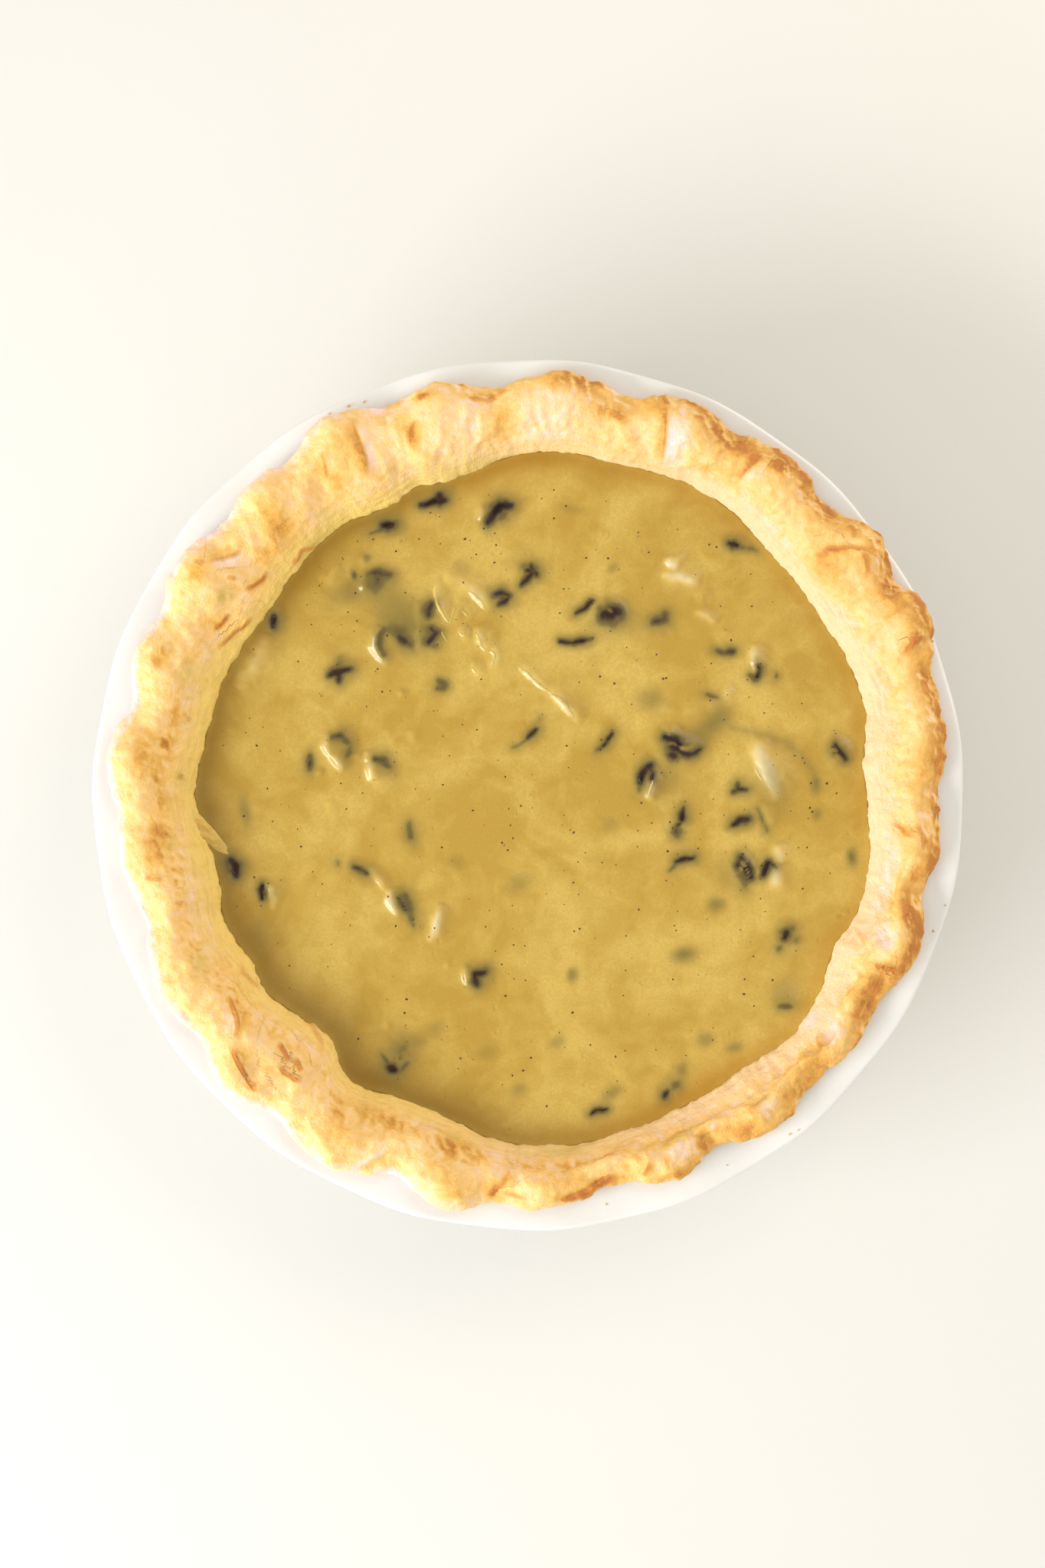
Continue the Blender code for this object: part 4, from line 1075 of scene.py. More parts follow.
# Raisins under the surface: x, y, half length, half width in mm, clock angle, how
# dark the cloud is, and the height in mm of the mound over it.
SUNKEN = (
    (78.3, -61.3, 5.6, 5.0, 60, 0.28, 0.5), (-45.8, 65.7, 4.8, 3.2, 10, 0.32, 0.9),
    (-40.9, 46.8, 6.6, 5.8, 0, 0.14, 1.3), (-26.2, 33.7, 3.0, 2.4, 20, 0.30, 0.0),
    (40.4, 54.0, 3.8, 2.8, 20, 0.32, 0.0), (60.6, 43.7, 4.2, 2.0, 0, 0.28, 0.0),
    (-57.3, 14.7, 3.8, 5.0, 0, 0.14, 1.3), (-66.9, 9.4, 2.2, 4.2, 0, 0.24, 0.0),
    (-44.4, 7.7, 3.4, 4.6, 10, 0.16, 1.0), (-35.8, -12.6, 2.6, 5.0, 10, 0.24, 0.0),
    (-37.4, -33.2, 3.2, 5.4, 25, 0.30, 0.3), (-2.8, -27.1, 4.2, 2.8, 25, 0.26, 0.0),
    (57.5, -33.4, 3.0, 2.6, 0, 0.40, 0.0), (47.5, -48.9, 4.0, 2.8, 10, 0.46, 0.0),
    (13.6, -54.9, 2.0, 2.6, -20, 0.42, 0.0), (8.7, -75.8, 2.8, 2.0, 30, 0.26, 0.0),
    (54.0, -74.6, 3.0, 2.4, 20, 0.32, 0.0), (62.7, -77.2, 3.0, 1.6, 15, 0.35, 0.0),
    (-2.8, -90.2, 2.8, 1.8, 20, 0.26, 0.0), (25.7, -90.9, 3.6, 2.0, 25, 0.35, 0.0),
    (87.9, 2.6, 1.8, 2.8, 0, 0.36, 0.0), (88.1, -5.8, 1.6, 1.8, 0, 0.36, 0.0),
    (99.0, -19.2, 1.8, 3.4, 0, 0.5, 0.0), (37.4, 29.2, 4.4, 3.6, 10, 0.32, 0.0),
    (58.0, 23.4, 5.0, 3.6, 45, 0.4, 0.2), (25.3, -9.1, 2.6, 2.4, 0, 0.20, 0.0),
    (-28.1, -71.8, 3.0, 2.4, 20, 0.20, 0.0), (-32.7, -75.3, 2.6, 2.0, 0, 0.18, 0.0),
    (-12.6, -78.8, 3.4, 2.4, 10, 0.20, 0.0), (-21.7, -20.8, 2.8, 2.4, 0, 0.20, 0.0),
    (25.7, 69.2, 2.4, 1.2, 30, 0.26, 0.0), (-21.0, 69.7, 3.0, 2.6, 0, 0.18, 0.0),
    (12.9, 87.2, 4.0, 1.6, -15, 0.18, 0.0), (-86.5, -5.1, 1.8, 5.0, 10, 0.34, 0.0),
    (-81.5, -42.0, 3.0, 5.0, 0, 0.16, 0.0), (-54.0, 62.0, 8.0, 4.0, 20, 0.32, 0.0),
    (-41.0, 57.0, 8.0, 7.0, 0, 0.34, 0.0), (-34.0, 50.0, 5.0, 8.0, 0, 0.28, 0.0),
    (52.0, 18.0, 6.0, 4.0, 20, 0.34, 0.0), (42.0, 5.0, 6.0, 8.0, 0, 0.20, 0.0),
    (75.0, 2.0, 5.0, 9.0, 20, 0.22, 0.0), (30.0, 52.0, 14.0, 5.0, 0, 0.16, 0.0),
    (63.0, -24.0, 7.0, 6.0, 0, 0.16, 0.0),
)
# Dark skin as it shows through the custard, in strokes: the raisin's number, half
# width in mm, darkness, then points in mm from the raisin's place. Number 0 is for
# what lies under the surface, with points from the pie's middle. A darkness below 0
# is custard that lies in a fold of the raisin.
STROKES = (
    (1, 1.0, 1.0, (-3.9, -0.5), (-1.0, 0.3), (1.5, 0.8)), (1, 1.6, 1.0, (1.7, 2.5), (1.8, 0.8), (3.1, 0.9)),
    (2, 1.5, 1.0, (-1.9, 1.1), (1.3, 1.2)), (2, 0.7, 0.55, (-1.6, 0.2), (-5.5, -1.5)),
    (3, 1.4, 1.0, (4.0, 1.6), (0.5, 1.6)), (3, 1.9, 1.0, (0.5, 1.6), (-1.3, -0.6)),
    (3, 1.5, 1.0, (-1.3, -0.6), (-3.1, -3.4)), (3, 1.6, 0.5, (1.9, -1.0), (1.0, -2.2)),
    (4, 1.4, 0.8, (0.4, 2.8), (1.2, 1.2), (1.8, 0.4)),
    (4, 1.1, 0.8, (0.4, 0.6), (-0.9, -1.2), (-2.7, -2.7)), (4, 1.0, 0.8, (-1.3, 1.4), (0.5, 1.2)),
    (4, 2.4, 0.3, (-2.5, 3.4), (-1.6, 2.6)), (5, 1.2, 0.8, (-2.8, 0.8), (-0.5, 1.6), (2.0, 0.6)),
    (5, 1.3, 0.8, (1.5, -0.4), (-1.0, -2.0)), (5, 1.2, 0.6, (-0.6, 0.2), (0.6, 0.0)),
    (6, 1.4, 0.72, (0.5, 1.8), (-0.5, 0.0), (-0.2, -2.0)),
    (7, 1.2, 0.8, (0.0, 2.6), (1.6, 1.4), (0.5, 0.0), (-0.8, -1.4)),
    (7, 1.8, 0.35, (1.5, -3.1), (1.0, -2.6)), (8, 1.2, 1.0, (-1.3, 2.2), (-1.5, -1.3)),
    (8, 2.4, 0.4, (-1.4, 1.0), (-1.0, -1.0)), (9, 1.4, 0.85, (-2.8, -1.0), (0.0, 0.3), (3.0, 1.0)),
    (9, 1.2, 0.8, (0.3, 0.0), (0.0, -2.9)), (9, 1.6, 0.3, (0.2, 2.4), (0.6, 4.6)),
    (10, 0.8, 0.85, (2.6, 1.7), (0.4, -0.3), (-2.4, -1.9)), (11, 2.6, 1.0, (-1.6, -0.4), (1.6, 0.4)),
    (11, 0.5, -0.8, (-0.6, 1.0), (0.6, 0.3)), (12, 0.8, 0.9, (-4.7, 0.1), (-0.6, -0.3), (3.9, 0.4)),
    (12, 0.5, 0.6, (3.9, 0.4), (5.4, 0.9)), (13, 1.2, 0.95, (-1.8, 0.4), (0.2, -0.2)),
    (13, 0.9, 0.4, (1.4, -0.8), (6.4, -1.6)), (14, 0.7, 0.9, (0.9, 2.2), (1.2, 0.6), (0.5, -1.2)),
    (14, 1.2, 0.5, (-1.6, -0.8), (0.0, -1.8), (1.2, -0.8)), (15, 0.8, 0.75, (1.0, 1.4), (-1.7, -1.8)),
    (15, 0.6, 0.4, (-2.6, -2.7), (-6.3, -4.7)), (15, 1.0, 0.25, (1.9, 3.6), (2.1, 4.6)),
    (16, 0.7, 0.9, (1.9, 2.1), (-0.9, -2.0)), (16, 1.2, 0.4, (-2.2, -2.6), (-2.8, -3.4)),
    (17, 1.4, 1.0, (-3.9, 3.0), (-1.4, 2.0), (0.4, 0.8)), (17, 1.8, 1.0, (-1.8, 0.3), (-0.4, -0.4)),
    (17, 1.5, 0.8, (-2.2, -2.4), (-1.0, -2.8)),
    (17, 0.9, 0.85, (0.0, -1.2), (1.8, -2.2), (3.6, -2.5), (5.2, -2.0), (6.6, -0.8)),
    (17, 0.5, -0.5, (-2.6, 1.1), (-0.8, 0.5)), (17, 0.5, -0.8, (0.6, 0.0), (2.2, -0.9)),
    (18, 1.2, 0.92, (1.7, 2.9), (0.2, 1.8), (-0.8, 0.2), (-1.2, -2.0)),
    (18, 0.8, 0.85, (2.0, 2.0), (2.3, 0.0), (2.0, -1.2)), (18, 0.8, 0.4, (-1.6, -3.6), (-2.0, -5.4)),
    (19, 1.1, 0.85, (-0.6, 1.8), (0.3, 0.2), (1.3, -1.2), (1.9, -2.4)),
    (19, 0.8, 0.85, (-1.6, 1.2), (-0.8, 0.0), (0.0, -0.6)), (19, 3.4, 0.3, (-0.4, 0.6), (0.6, -0.8)),
    (19, 0.5, -0.9, (-1.9, 0.8), (-0.5, 0.1)), (19, 0.4, -0.8, (-0.8, -1.0), (-0.3, -1.6)),
    (20, 1.2, 0.72, (-0.7, 1.2), (-1.0, -0.4)), (20, 1.0, 0.72, (-2.0, -0.9), (0.0, -0.5), (2.0, -0.5)),
    (21, 1.2, 0.92, (2.2, 0.6), (0.0, 0.4), (-2.3, -0.8)), (22, 1.1, 0.95, (0.8, 2.6), (0.4, 0.4)),
    (22, 0.6, 0.8, (1.2, 4.0), (0.9, 2.8)), (22, 0.6, 0.75, (-0.1, -0.8), (-0.8, -1.9)),
    (22, 1.9, 0.6, (-1.2, -3.0), (-1.2, -4.4)), (23, 0.9, 0.9, (2.6, 0.1), (0.1, -0.1), (-2.4, -0.8)),
    (23, 0.8, 0.42, (-3.0, -1.8), (-4.5, -3.7)),
    (24, 1.0, 0.95, (-0.6, 3.0), (1.2, 1.4), (2.2, -0.6), (2.5, -3.0)),
    (24, 1.3, 0.8, (-1.2, 1.8), (-1.3, -0.4)), (24, 0.9, 0.95, (0.3, 0.0), (1.2, -2.0)),
    (24, 1.5, 0.42, (-1.0, -2.6), (0.2, -3.8), (0.8, -6.4)), (24, 0.5, -0.9, (0.0, 1.7), (0.9, 0.6)),
    (24, 0.4, -0.9, (-1.0, -0.2), (-0.4, -0.9)), (24, 0.4, -0.7, (1.3, -0.6), (2.0, -2.2)),
    (25, 1.3, 0.92, (0.4, 1.6), (-0.5, -0.2), (-1.0, -1.8)), (25, 0.4, 0.8, (1.3, 1.9), (2.9, 0.3)),
    (26, 1.6, 0.95, (-2.2, 2.6), (-0.6, 0.4), (-0.4, -2.2)), (26, 2.6, 0.5, (-3.0, 1.5), (-1.0, -1.0)),
    (27, 0.8, 1.0, (-0.1, 2.1), (-0.4, 0.3), (-0.1, -1.8)), (27, 1.2, 0.5, (0.8, 0.0), (1.0, -1.0)),
    (28, 1.2, 0.68, (-2.0, 0.7), (1.6, -1.1)), (29, 1.4, 0.85, (1.8, 1.5), (-1.2, 1.0)),
    (29, 1.4, 0.85, (-1.0, 0.4), (-0.5, -2.2)), (30, 1.7, 1.0, (-1.0, -1.3), (0.4, -2.2)),
    (30, 0.6, 0.5, (-1.6, 0.2), (-3.3, 2.4)), (30, 1.0, 0.45, (3.1, -1.7), (4.9, 0.1)),
    (30, 0.8, 0.45, (2.2, 1.2), (2.8, 1.8)), (30, 4.0, 0.36, (2.6, 3.6), (3.6, 4.8)),
    (31, 1.3, 0.85, (-2.0, -3.8), (-1.3, -3.0)), (31, 1.6, 0.48, (1.3, -1.2), (1.8, 0.0)),
    (31, 1.6, 0.25, (3.0, 3.6), (3.6, 4.8)), (32, 0.8, 0.8, (-2.0, -1.3), (-0.2, -0.4), (2.5, 0.3)),
    (33, 1.4, 0.92, (0.2, 1.3), (-0.5, -0.5)), (33, 1.3, 0.48, (-2.3, -4.4), (-1.9, -3.6)),
    (33, 1.2, 0.35, (1.6, 2.2), (2.0, 3.0)), (33, 1.2, 0.35, (2.5, -1.2), (2.9, -1.8)),
    (0, 1.2, 0.62, (-48.5, 67.6), (-45.5, 68.0), (-41.8, 67.0)),
    (0, 1.8, 0.42, (-46.0, 66.0), (-46.5, 62.6)), (0, 0.8, 0.5, (-53.0, 67.6), (-52.8, 66.4)),
    (0, 0.7, 0.45, (-49.8, 72.6), (-48.6, 72.4)),
    (0, 1.0, 0.6, (-43.6, 50.0), (-45.2, 48.4), (-45.6, 45.6), (-44.0, 42.6)),
    (0, 1.1, 0.75, (-39.4, 48.2), (-36.2, 45.8)), (0, 1.8, 0.42, (-43.0, 50.4), (-38.6, 49.8)),
    (0, 0.9, 0.5, (-27.4, 35.0), (-25.4, 34.0), (-25.6, 32.6), (-28.0, 32.4)),
    (0, 1.1, 0.62, (42.0, 55.0), (41.6, 53.4), (38.4, 52.6)), (0, 0.8, 0.6, (57.4, 44.2), (59.4, 43.4)),
    (0, 0.9, 0.68, (60.8, 43.6), (62.8, 43.8)), (0, 1.2, 0.6, (-59.5, 17.4), (-57.0, 17.9), (-55.0, 16.0)),
    (0, 1.2, 0.5, (-54.4, 14.6), (-55.2, 11.6)), (0, 1.2, 0.62, (-46.6, 10.8), (-44.0, 10.6), (-42.8, 8.6)),
    (0, 0.9, 0.62, (-66.6, 12.0), (-66.9, 7.4)), (0, 1.1, 0.42, (-36.3, -8.6), (-36.0, -13.0)),
    (0, 0.5, 0.8, (-39.4, -31.4), (-37.4, -35.6)), (0, 1.6, 0.46, (-37.2, -31.0), (-35.4, -38.0)),
    (0, 0.6, 0.6, (-35.2, -39.6), (-34.6, -40.2)), (0, 0.8, 0.55, (54.4, 30.6), (57.6, 29.9)),
    (0, 0.8, 0.5, (70.0, -4.2), (71.4, -7.8), (72.8, -11.2)), (0, 0.6, 0.6, (75.8, 36.6), (75.6, 35.8)),
    (0, 0.9, 0.5, (77.0, -64.6), (80.2, -64.8)),
    (0, 1.3, 0.2, (62.0, 20.4), (68.3, 19.2), (77.2, 16.4), (83.6, 12.0), (88.4, 4.4)),
    (0, 0.9, 0.45, (-57.9, -20.4), (-57.8, -21.4)),
)
BEND_CENTRE = 0.4  # taken off the square, so that a bent raisin stays on its place
WAVER = 0.45  # mm by which a stroke's edge wanders
HALO = 0.45  # darkness of a stroke's halo, as a share of its own


def local_axes(x, y, middle_x, middle_y, degrees):
    """A point's place along and across a direction through a middle, in mm."""
    turn = math.radians(degrees)
    dx, dy = x - middle_x, y - middle_y
    return dx * math.cos(turn) + dy * math.sin(turn), dy * math.cos(turn) - dx * math.sin(turn)


def raisin_nearness(x, y, row):
    """How far out of a raisin's own oval a point lies: 0 at its middle, 1 on its
    outline, where the oval is bent by its curve times (along / half length)^2."""
    middle_x, middle_y, length, width, degrees, _, curve, _ = row
    along, across = local_axes(x, y, middle_x, middle_y, degrees)
    along = along / (length / 2)
    across = (across - curve * (along**2 - BEND_CENTRE)) / (width / 2)
    return np.hypot(along, across)


def along_line(x, y, line):
    """For points at x and y: the distance from an open line, the share of the way
    along it, and the step from the line's nearest point to each of them."""
    line = np.array(line, float)
    steps = np.diff(line, axis=0)
    lengths = np.hypot(*steps.T)
    best, gone = np.full(x.shape, 1e3), 0.0
    share, off_x, off_y = np.zeros((3, *x.shape))
    for start, step, length in zip(line, steps, lengths):
        dx, dy = x - start[0], y - start[1]
        t = np.clip((dx * step[0] + dy * step[1]) / length**2, 0, 1)
        dx, dy = dx - t * step[0], dy - t * step[1]
        away = np.hypot(dx, dy)
        closer = away < best
        best = np.where(closer, away, best)
        share = np.where(closer, (gone + t * length) / lengths.sum(), share)
        off_x, off_y = np.where(closer, dx, off_x), np.where(closer, dy, off_y)
        gone += length
    return best, share, off_x, off_y


def raisin_shade(x, y):
    """How much raisin shows at x and y in mm, from 0 to 1, as (bare, shade). Bare is
    the strokes of raisins at the surface, exp(-(distance / half width)^1.65) with
    thinner ends. Shade adds strokes below, the halo exp(-(distance / reach)^2) of
    each stroke, the raisins' own ovals and the clouds of the sunken ones. A stroke
    of negative darkness is custard that runs over the others. The places waver first
    by soft noise, so that no edge is even."""
    places = np.stack((x, y, np.full(x.shape, 3.0)), axis=-1)
    x = x + WAVER * hills(places, 2.6, 91, 2)
    y = y + WAVER * hills(places, 2.6, 191, 2)
    bare, below, halo, filled = np.zeros((4, *x.shape))
    for number, half_width, dark, *line in STROKES:
        middle_x, middle_y = RAISINS[number - 1][:2] if number else (0.0, 0.0)
        away, share = along_line(x - middle_x, y - middle_y, line)[:2]
        thick = half_width * (0.65 + 0.35 * np.sin(np.pi * share)) + 0.12
        stroke = dark * np.exp(-((away / thick) ** 1.65))
        if dark < 0:
            filled = np.maximum(filled, -stroke)
            continue
        if number:
            bare = np.maximum(bare, stroke)
        else:
            below = np.maximum(below, stroke)
        reach = 1.5 + 0.9 * half_width
        outside_it = np.maximum(away - 0.4 * half_width, 0) / reach
        halo = np.maximum(halo, HALO * dark * np.exp(-(outside_it**2)))
    uneven = 0.86 + 0.3 * hills(places, 1.8, 291, 2)
    clear = (1 - halo * uneven) * (1 - bare * np.minimum(uneven + 0.1, 1.0)) * (1 - below * uneven)
    for row in RAISINS:
        away = raisin_nearness(x, y, row)
        clear = clear * (1 - 0.12 * row[7] * (1 - smooth_step(0.6, 1.4, away)))
    for middle_x, middle_y, long_half, short_half, degrees, dark, _ in SUNKEN:
        along, across = local_axes(x, y, middle_x, middle_y, degrees)
        away = np.hypot(along / long_half, across / short_half)
        clear = clear * (1 - dark * np.exp(-(away**2.4)))
    return bare * (1 - filled), (1 - clear) * (1 - 0.7 * filled)


print(len(RAISINS), "raisins at the surface,", len(SUNKEN), "clouds below it and", len(STROKES), "strokes.")

# %% [markdown]
# ## The custard
#
# The filling was spooned in thick and warm and set with the spoon's marks in it: a
# swirl near the middle, ridges, small craters where bubbles broke. Its height is the
# sum of those marks. Where it touches a raisin it climbs a little, and a low mound
# covers each large raisin just under the skin.

# %% Custard height
# Low swells left by the spoon: x, y, spread and height, in mm.
SWELLS = (
    (-22.0, 52.0, 11.0, 0.7), (8.0, 36.0, 9.0, 0.6), (-23.8, 59.8, 2.8, -0.5), (-17.6, 56.6, 2.4, -0.4),
    (-14.6, 41.0, 2.2, -0.5), (-2.0, 42.0, 5.0, 0.4), (45.0, 24.0, 12.0, 0.4), (66.0, -10.0, 14.0, 0.4),
    (-48.0, 14.0, 12.0, 0.3), (-20.0, -38.0, 16.0, -0.3), (20.0, -60.0, 22.0, -0.3),
)
# Ridges: half width and height in mm, how pale with cream and painted glint, then the
# points of the side that looks to the window. That side is steep; the other runs out much further.
RIDGES = (
    (1.3, 1.1, 0.5, (-28.0, 65.2), (-28.5, 61.8), (-28.2, 60.0), (-27.4, 57.4), (-26.0, 54.8), (-24.0, 51.6)),
    (1.2, 0.9, 0.4, (-24.4, 51.4), (-23.2, 54.0), (-22.8, 56.0), (-21.6, 57.6), (-18.8, 58.6)),
    (1.8, 1.5, 0.6, (-26.8, 65.2), (-21.7, 64.3), (-18.4, 62.5), (-15.7, 60.0), (-12.2, 55.6)),
    (1.2, 0.9, 0.4, (-20.6, 56.8), (-17.6, 53.4)),
    (1.2, 0.9, 0.4, (-22.0, 50.8), (-20.2, 48.6), (-18.2, 49.8)),
    (1.5, 1.3, 0.55, (-16.8, 51.2), (-15.0, 46.6), (-12.6, 42.8)),
    (1.2, 1.1, 0.6, (-12.6, 44.8), (-10.4, 42.4), (-11.0, 40.2), (-13.0, 38.2)),
    (1.3, 1.0, 0.4, (-17.8, 40.0), (-15.9, 37.2), (-12.8, 36.4)),
    (2.4, 0.8, 0.15, (-15.4, 36.4), (-10.0, 37.0), (-5.6, 38.8), (-2.4, 39.8)),
    (1.2, 1.1, 0.5, (-4.2, 40.2), (-0.6, 36.7), (3.7, 32.9), (8.4, 28.8)),
    (1.7, 1.5, 0.6, (3.0, 33.0), (8.4, 28.6), (12.0, 25.2), (15.6, 21.8)),
    (1.8, 0.7, 0.15, (31.0, 21.0), (44.4, 24.1), (52.0, 26.8), (58.0, 29.6), (63.0, 32.0)),
    (1.0, 1.05, 0.6, (58.6, 29.8), (60.6, 31.0), (62.6, 31.8)),
    (1.5, 1.68, 0.95, (39.8, 66.6), (45.8, 65.9), (51.6, 63.6)),
    (1.8, 2.02, 0.95, (41.0, 72.0), (42.6, 69.8), (44.8, 67.4)),
    (1.4, 0.6, 0.2, (50.0, 60.6), (55.4, 60.0)),
    (1.1, 1.16, 0.65, (50.4, 56.4), (53.6, 54.2), (57.0, 52.0)),
    (1.3, 1.46, 0.85, (68.0, 46.0), (68.2, 40.6), (69.4, 35.8)),
    (2.6, 1.9, 1.0, (67.4, 16.4), (70.0, 9.8), (72.4, 4.4), (75.2, -3.0)),
    (1.2, 1.0, 0.7, (71.8, 13.4), (73.4, 9.6), (75.4, 4.8)),
    (1.3, 0.8, 0.3, (70.2, -2.8), (72.0, -5.6), (74.2, -9.4)),
    (1.7, 1.3, 0.75, (75.0, -15.4), (75.4, -18.9), (76.4, -22.0)),
    (1.7, 1.3, 0.85, (74.2, -21.0), (74.4, -25.0), (74.2, -30.2)),
    (1.2, 1.3, 0.75, (37.4, 6.0), (36.8, 1.6), (36.0, -2.6)),
    (1.0, 1.05, 0.55, (40.2, 21.0), (42.6, 18.8), (45.0, 16.8)),
    (1.4, 1.57, 0.95, (-43.4, -28.8), (-42.9, -33.4), (-40.2, -37.8)),
    (1.0, 1.05, 0.55, (-48.9, -22.4), (-46.4, -26.4), (-43.6, -30.4)),
    (1.4, 1.57, 0.9, (-27.2, -33.8), (-28.9, -39.8), (-30.8, -46.0)),
    (1.1, 1.23, 0.95, (-45.4, 50.6), (-47.6, 48.0), (-48.0, 44.6), (-46.6, 41.8), (-43.4, 38.8)),
    (1.1, 0.8, 0.3, (-34.2, 58.8), (-34.2, 55.4), (-33.8, 51.4)),
    (1.3, 0.8, 0.3, (-33.4, 51.4), (-34.0, 47.6), (-33.6, 43.6)),
    (1.0, 0.75, 0.3, (-64.8, 65.0), (-61.2, 66.0), (-58.0, 70.0)),
    (1.0, 1.12, 0.75, (-61.6, 18.8), (-62.8, 14.6), (-61.0, 11.4)),
    (1.2, 1.34, 0.85, (-61.4, 12.0), (-59.0, 9.2), (-56.8, 6.8)),
    (1.3, 1.46, 0.7, (-50.4, 13.0), (-49.0, 9.2), (-48.8, 3.2)),
    (1.0, 0.5, 0.2, (-37.2, 19.6), (-35.2, 15.2)),
    (1.0, 1.05, 0.6, (-20.0, -52.4), (-19.4, -58.6)),
    (1.0, 1.05, 0.6, (-15.0, 88.2), (-14.7, 83.0)),
    (1.2, 0.4, 0.1, (-62.0, -1.4), (-59.8, -9.0)),
    (1.1, 1.16, 0.6, (-80.9, -26.2), (-78.6, -29.4), (-78.0, -32.4), (-78.6, -35.4)),
    (2.2, 1.5, 0.55, (-80.8, 48.4), (-83.0, 41.0), (-86.6, 36.6), (-90.0, 31.4)),
)
CREST_SHIFT = 0.7  # half widths from the bright side up to the crest
RIDGE_WANDER = 0.5  # mm by which a crest leaves its line
RIDGE_TAPER = 0.55  # the power by which a ridge's ends die away
FAR_SIDE = 2.8  # how much wider a ridge's side away from the window is
WINDOW = math.radians(LIGHTS[0][1])
# Small knobs, each x, y, half width and height in mm.
KNOBS = (
    (-50.2, 71.6, 1.1, 0.85), (-54.2, 67.2, 0.9, 0.7), (-50.2, 63.5, 1.4, 1.1), (-63.6, 6.9, 1.0, 0.8),
    (-51.8, 11.7, 1.0, 0.8), (-38.6, 31.0, 1.0, 0.8), (-24.6, -52.0, 1.0, 0.45), (47.6, 15.7, 0.9, 0.7),
    (-42.8, -70.4, 1.0, 0.45), (-85.6, 33.2, 0.9, 0.5), (-76.0, 57.0, 1.0, 0.5), (-90.2, 20.2, 1.3, 0.5),
    (53.2, 60.0, 1.2, 0.4), (65.9, -21.0, 0.9, 0.6), (-59.2, 88.0, 1.0, 0.3), (37.9, -1.0, 0.9, 0.6),
)
# Craters of burst bubbles: x, y and radius in mm.
CRATERS = (
    (95.4, -36.9, 1.4), (15.2, 4.7, 0.9), (0.7, 0.0, 0.7), (60.3, 50.5, 0.9), (76.0, 36.2, 0.9),
    (-38.6, 77.6, 0.8), (-5.8, -102.2, 1.1), (23.3, 79.5, 0.8), (34.9, 74.7, 0.8), (-33.0, -40.4, 0.6),
)
CRATER_RIM = 0.3  # mm that its rim stands up, and its middle lies down
BROAD_SWELL, SMALL_SWELL = 0.16, 0.05  # mm of soft unevenness everywhere
MENISCUS = 1.0  # how much of a raisin's rise the custard climbs
BARE_DENT = 0.42  # mm that it falls back where the raisin's skin shows
MOUND_REACH = 1.25  # a mound's spread, in half lengths of what lies under it


def ridge_fields(x, y):
    """For points at x and y, one ridge after the other: the distance from its crest
    in half widths, the cosine between the way from the crest and the way to the
    window, and a taper (4 * share * (1 - share))^0.55 that falls from 1 in the middle
    to 0 at the ends. The crest wanders by soft noise, and the ridge gets narrower as
    it gets lower."""
    places = np.stack((x, y, np.full(x.shape, 5.0)), axis=-1)
    x, y = (v + RIDGE_WANDER * hills(places, 3.2, seed, 2) for v, seed in ((x, 301), (y, 311)))
    uneven = 0.88 + 0.22 * hills(places, 2.6, 321, 2)
    for half_width, _, _, *line in RIDGES:
        shift = CREST_SHIFT * half_width
        crest = [(px - shift * math.cos(WINDOW), py - shift * math.sin(WINDOW)) for px, py in line]
        away, share, off_x, off_y = along_line(x, y, crest)
        to_window = (off_x * math.cos(WINDOW) + off_y * math.sin(WINDOW)) / np.maximum(away, 1e-6)
        taper = (4 * share * (1 - share)) ** RIDGE_TAPER * uneven
        yield away / (half_width * (0.4 + 0.6 * taper)), to_window, taper


def custard_height(x, y):
    """Height in mm above the custard's level at x and y in mm: the sum of gentle
    hills, swells, mounds and knobs shaped as exp(-(distance/width)^2), ridges with a
    steep and a gentle side, and ring-shaped craters. It climbs each raisin and falls
    back a little where the raisin's skin shows."""
    places = np.stack((x, y, np.zeros(x.shape)), axis=-1)
    height = BROAD_SWELL * hills(places, 34.0, 61, 2) + SMALL_SWELL * hills(places, 9.0, 63, 2)
    for middle_x, middle_y, spread, lift in SWELLS + KNOBS:
        height += lift * np.exp(-(((x - middle_x) ** 2 + (y - middle_y) ** 2) / spread**2))
    for middle_x, middle_y, long_half, short_half, degrees, _, lift in SUNKEN:
        along, across = local_axes(x, y, middle_x, middle_y, degrees)
        away = np.hypot(along / long_half, across / short_half) / MOUND_REACH
        height += lift * np.exp(-(away**4))
    ridged = 0.0
    for (_, lift, *_), (away, to_window, taper) in zip(RIDGES, ridge_fields(x, y)):
        side = (FAR_SIDE + 1) / 2 - (FAR_SIDE - 1) / 2 * to_window
        ridged = ridged + (lift * taper * np.exp(-((away / side) ** 2))) ** 4
    height += ridged**0.25
    for middle_x, middle_y, size in CRATERS:
        away = np.hypot(x - middle_x, y - middle_y) / size
        height += CRATER_RIM * np.exp(-(((away - 1.0) / 0.45) ** 2))
        height -= CRATER_RIM * np.exp(-((away / 0.6) ** 2))
    for row in RAISINS:
        away = raisin_nearness(x, y, row)
        height += MENISCUS * row[5] * np.exp(-((away / 1.15) ** 4))
    return height - BARE_DENT * smooth_step(0.35, 0.85, raisin_shade(x, y)[0])


def cream_share(x, y):
    """How pale the ridges are, from 0 to 1: their own number times 0.65 of a narrow
    film along the crest and 0.35 of a broad one round it. The paleness is partly
    cream and partly a painted glint of the window."""
    pale = np.zeros(x.shape)
    for (_, _, cream, *_), (away, _, taper) in zip(RIDGES, ridge_fields(x, y)):
        film = 0.65 * np.exp(-((away / 1.2) ** 2)) + 0.35 * np.exp(-((away / 3.2) ** 2))
        pale = np.maximum(pale, cream * taper * film)
    return pale


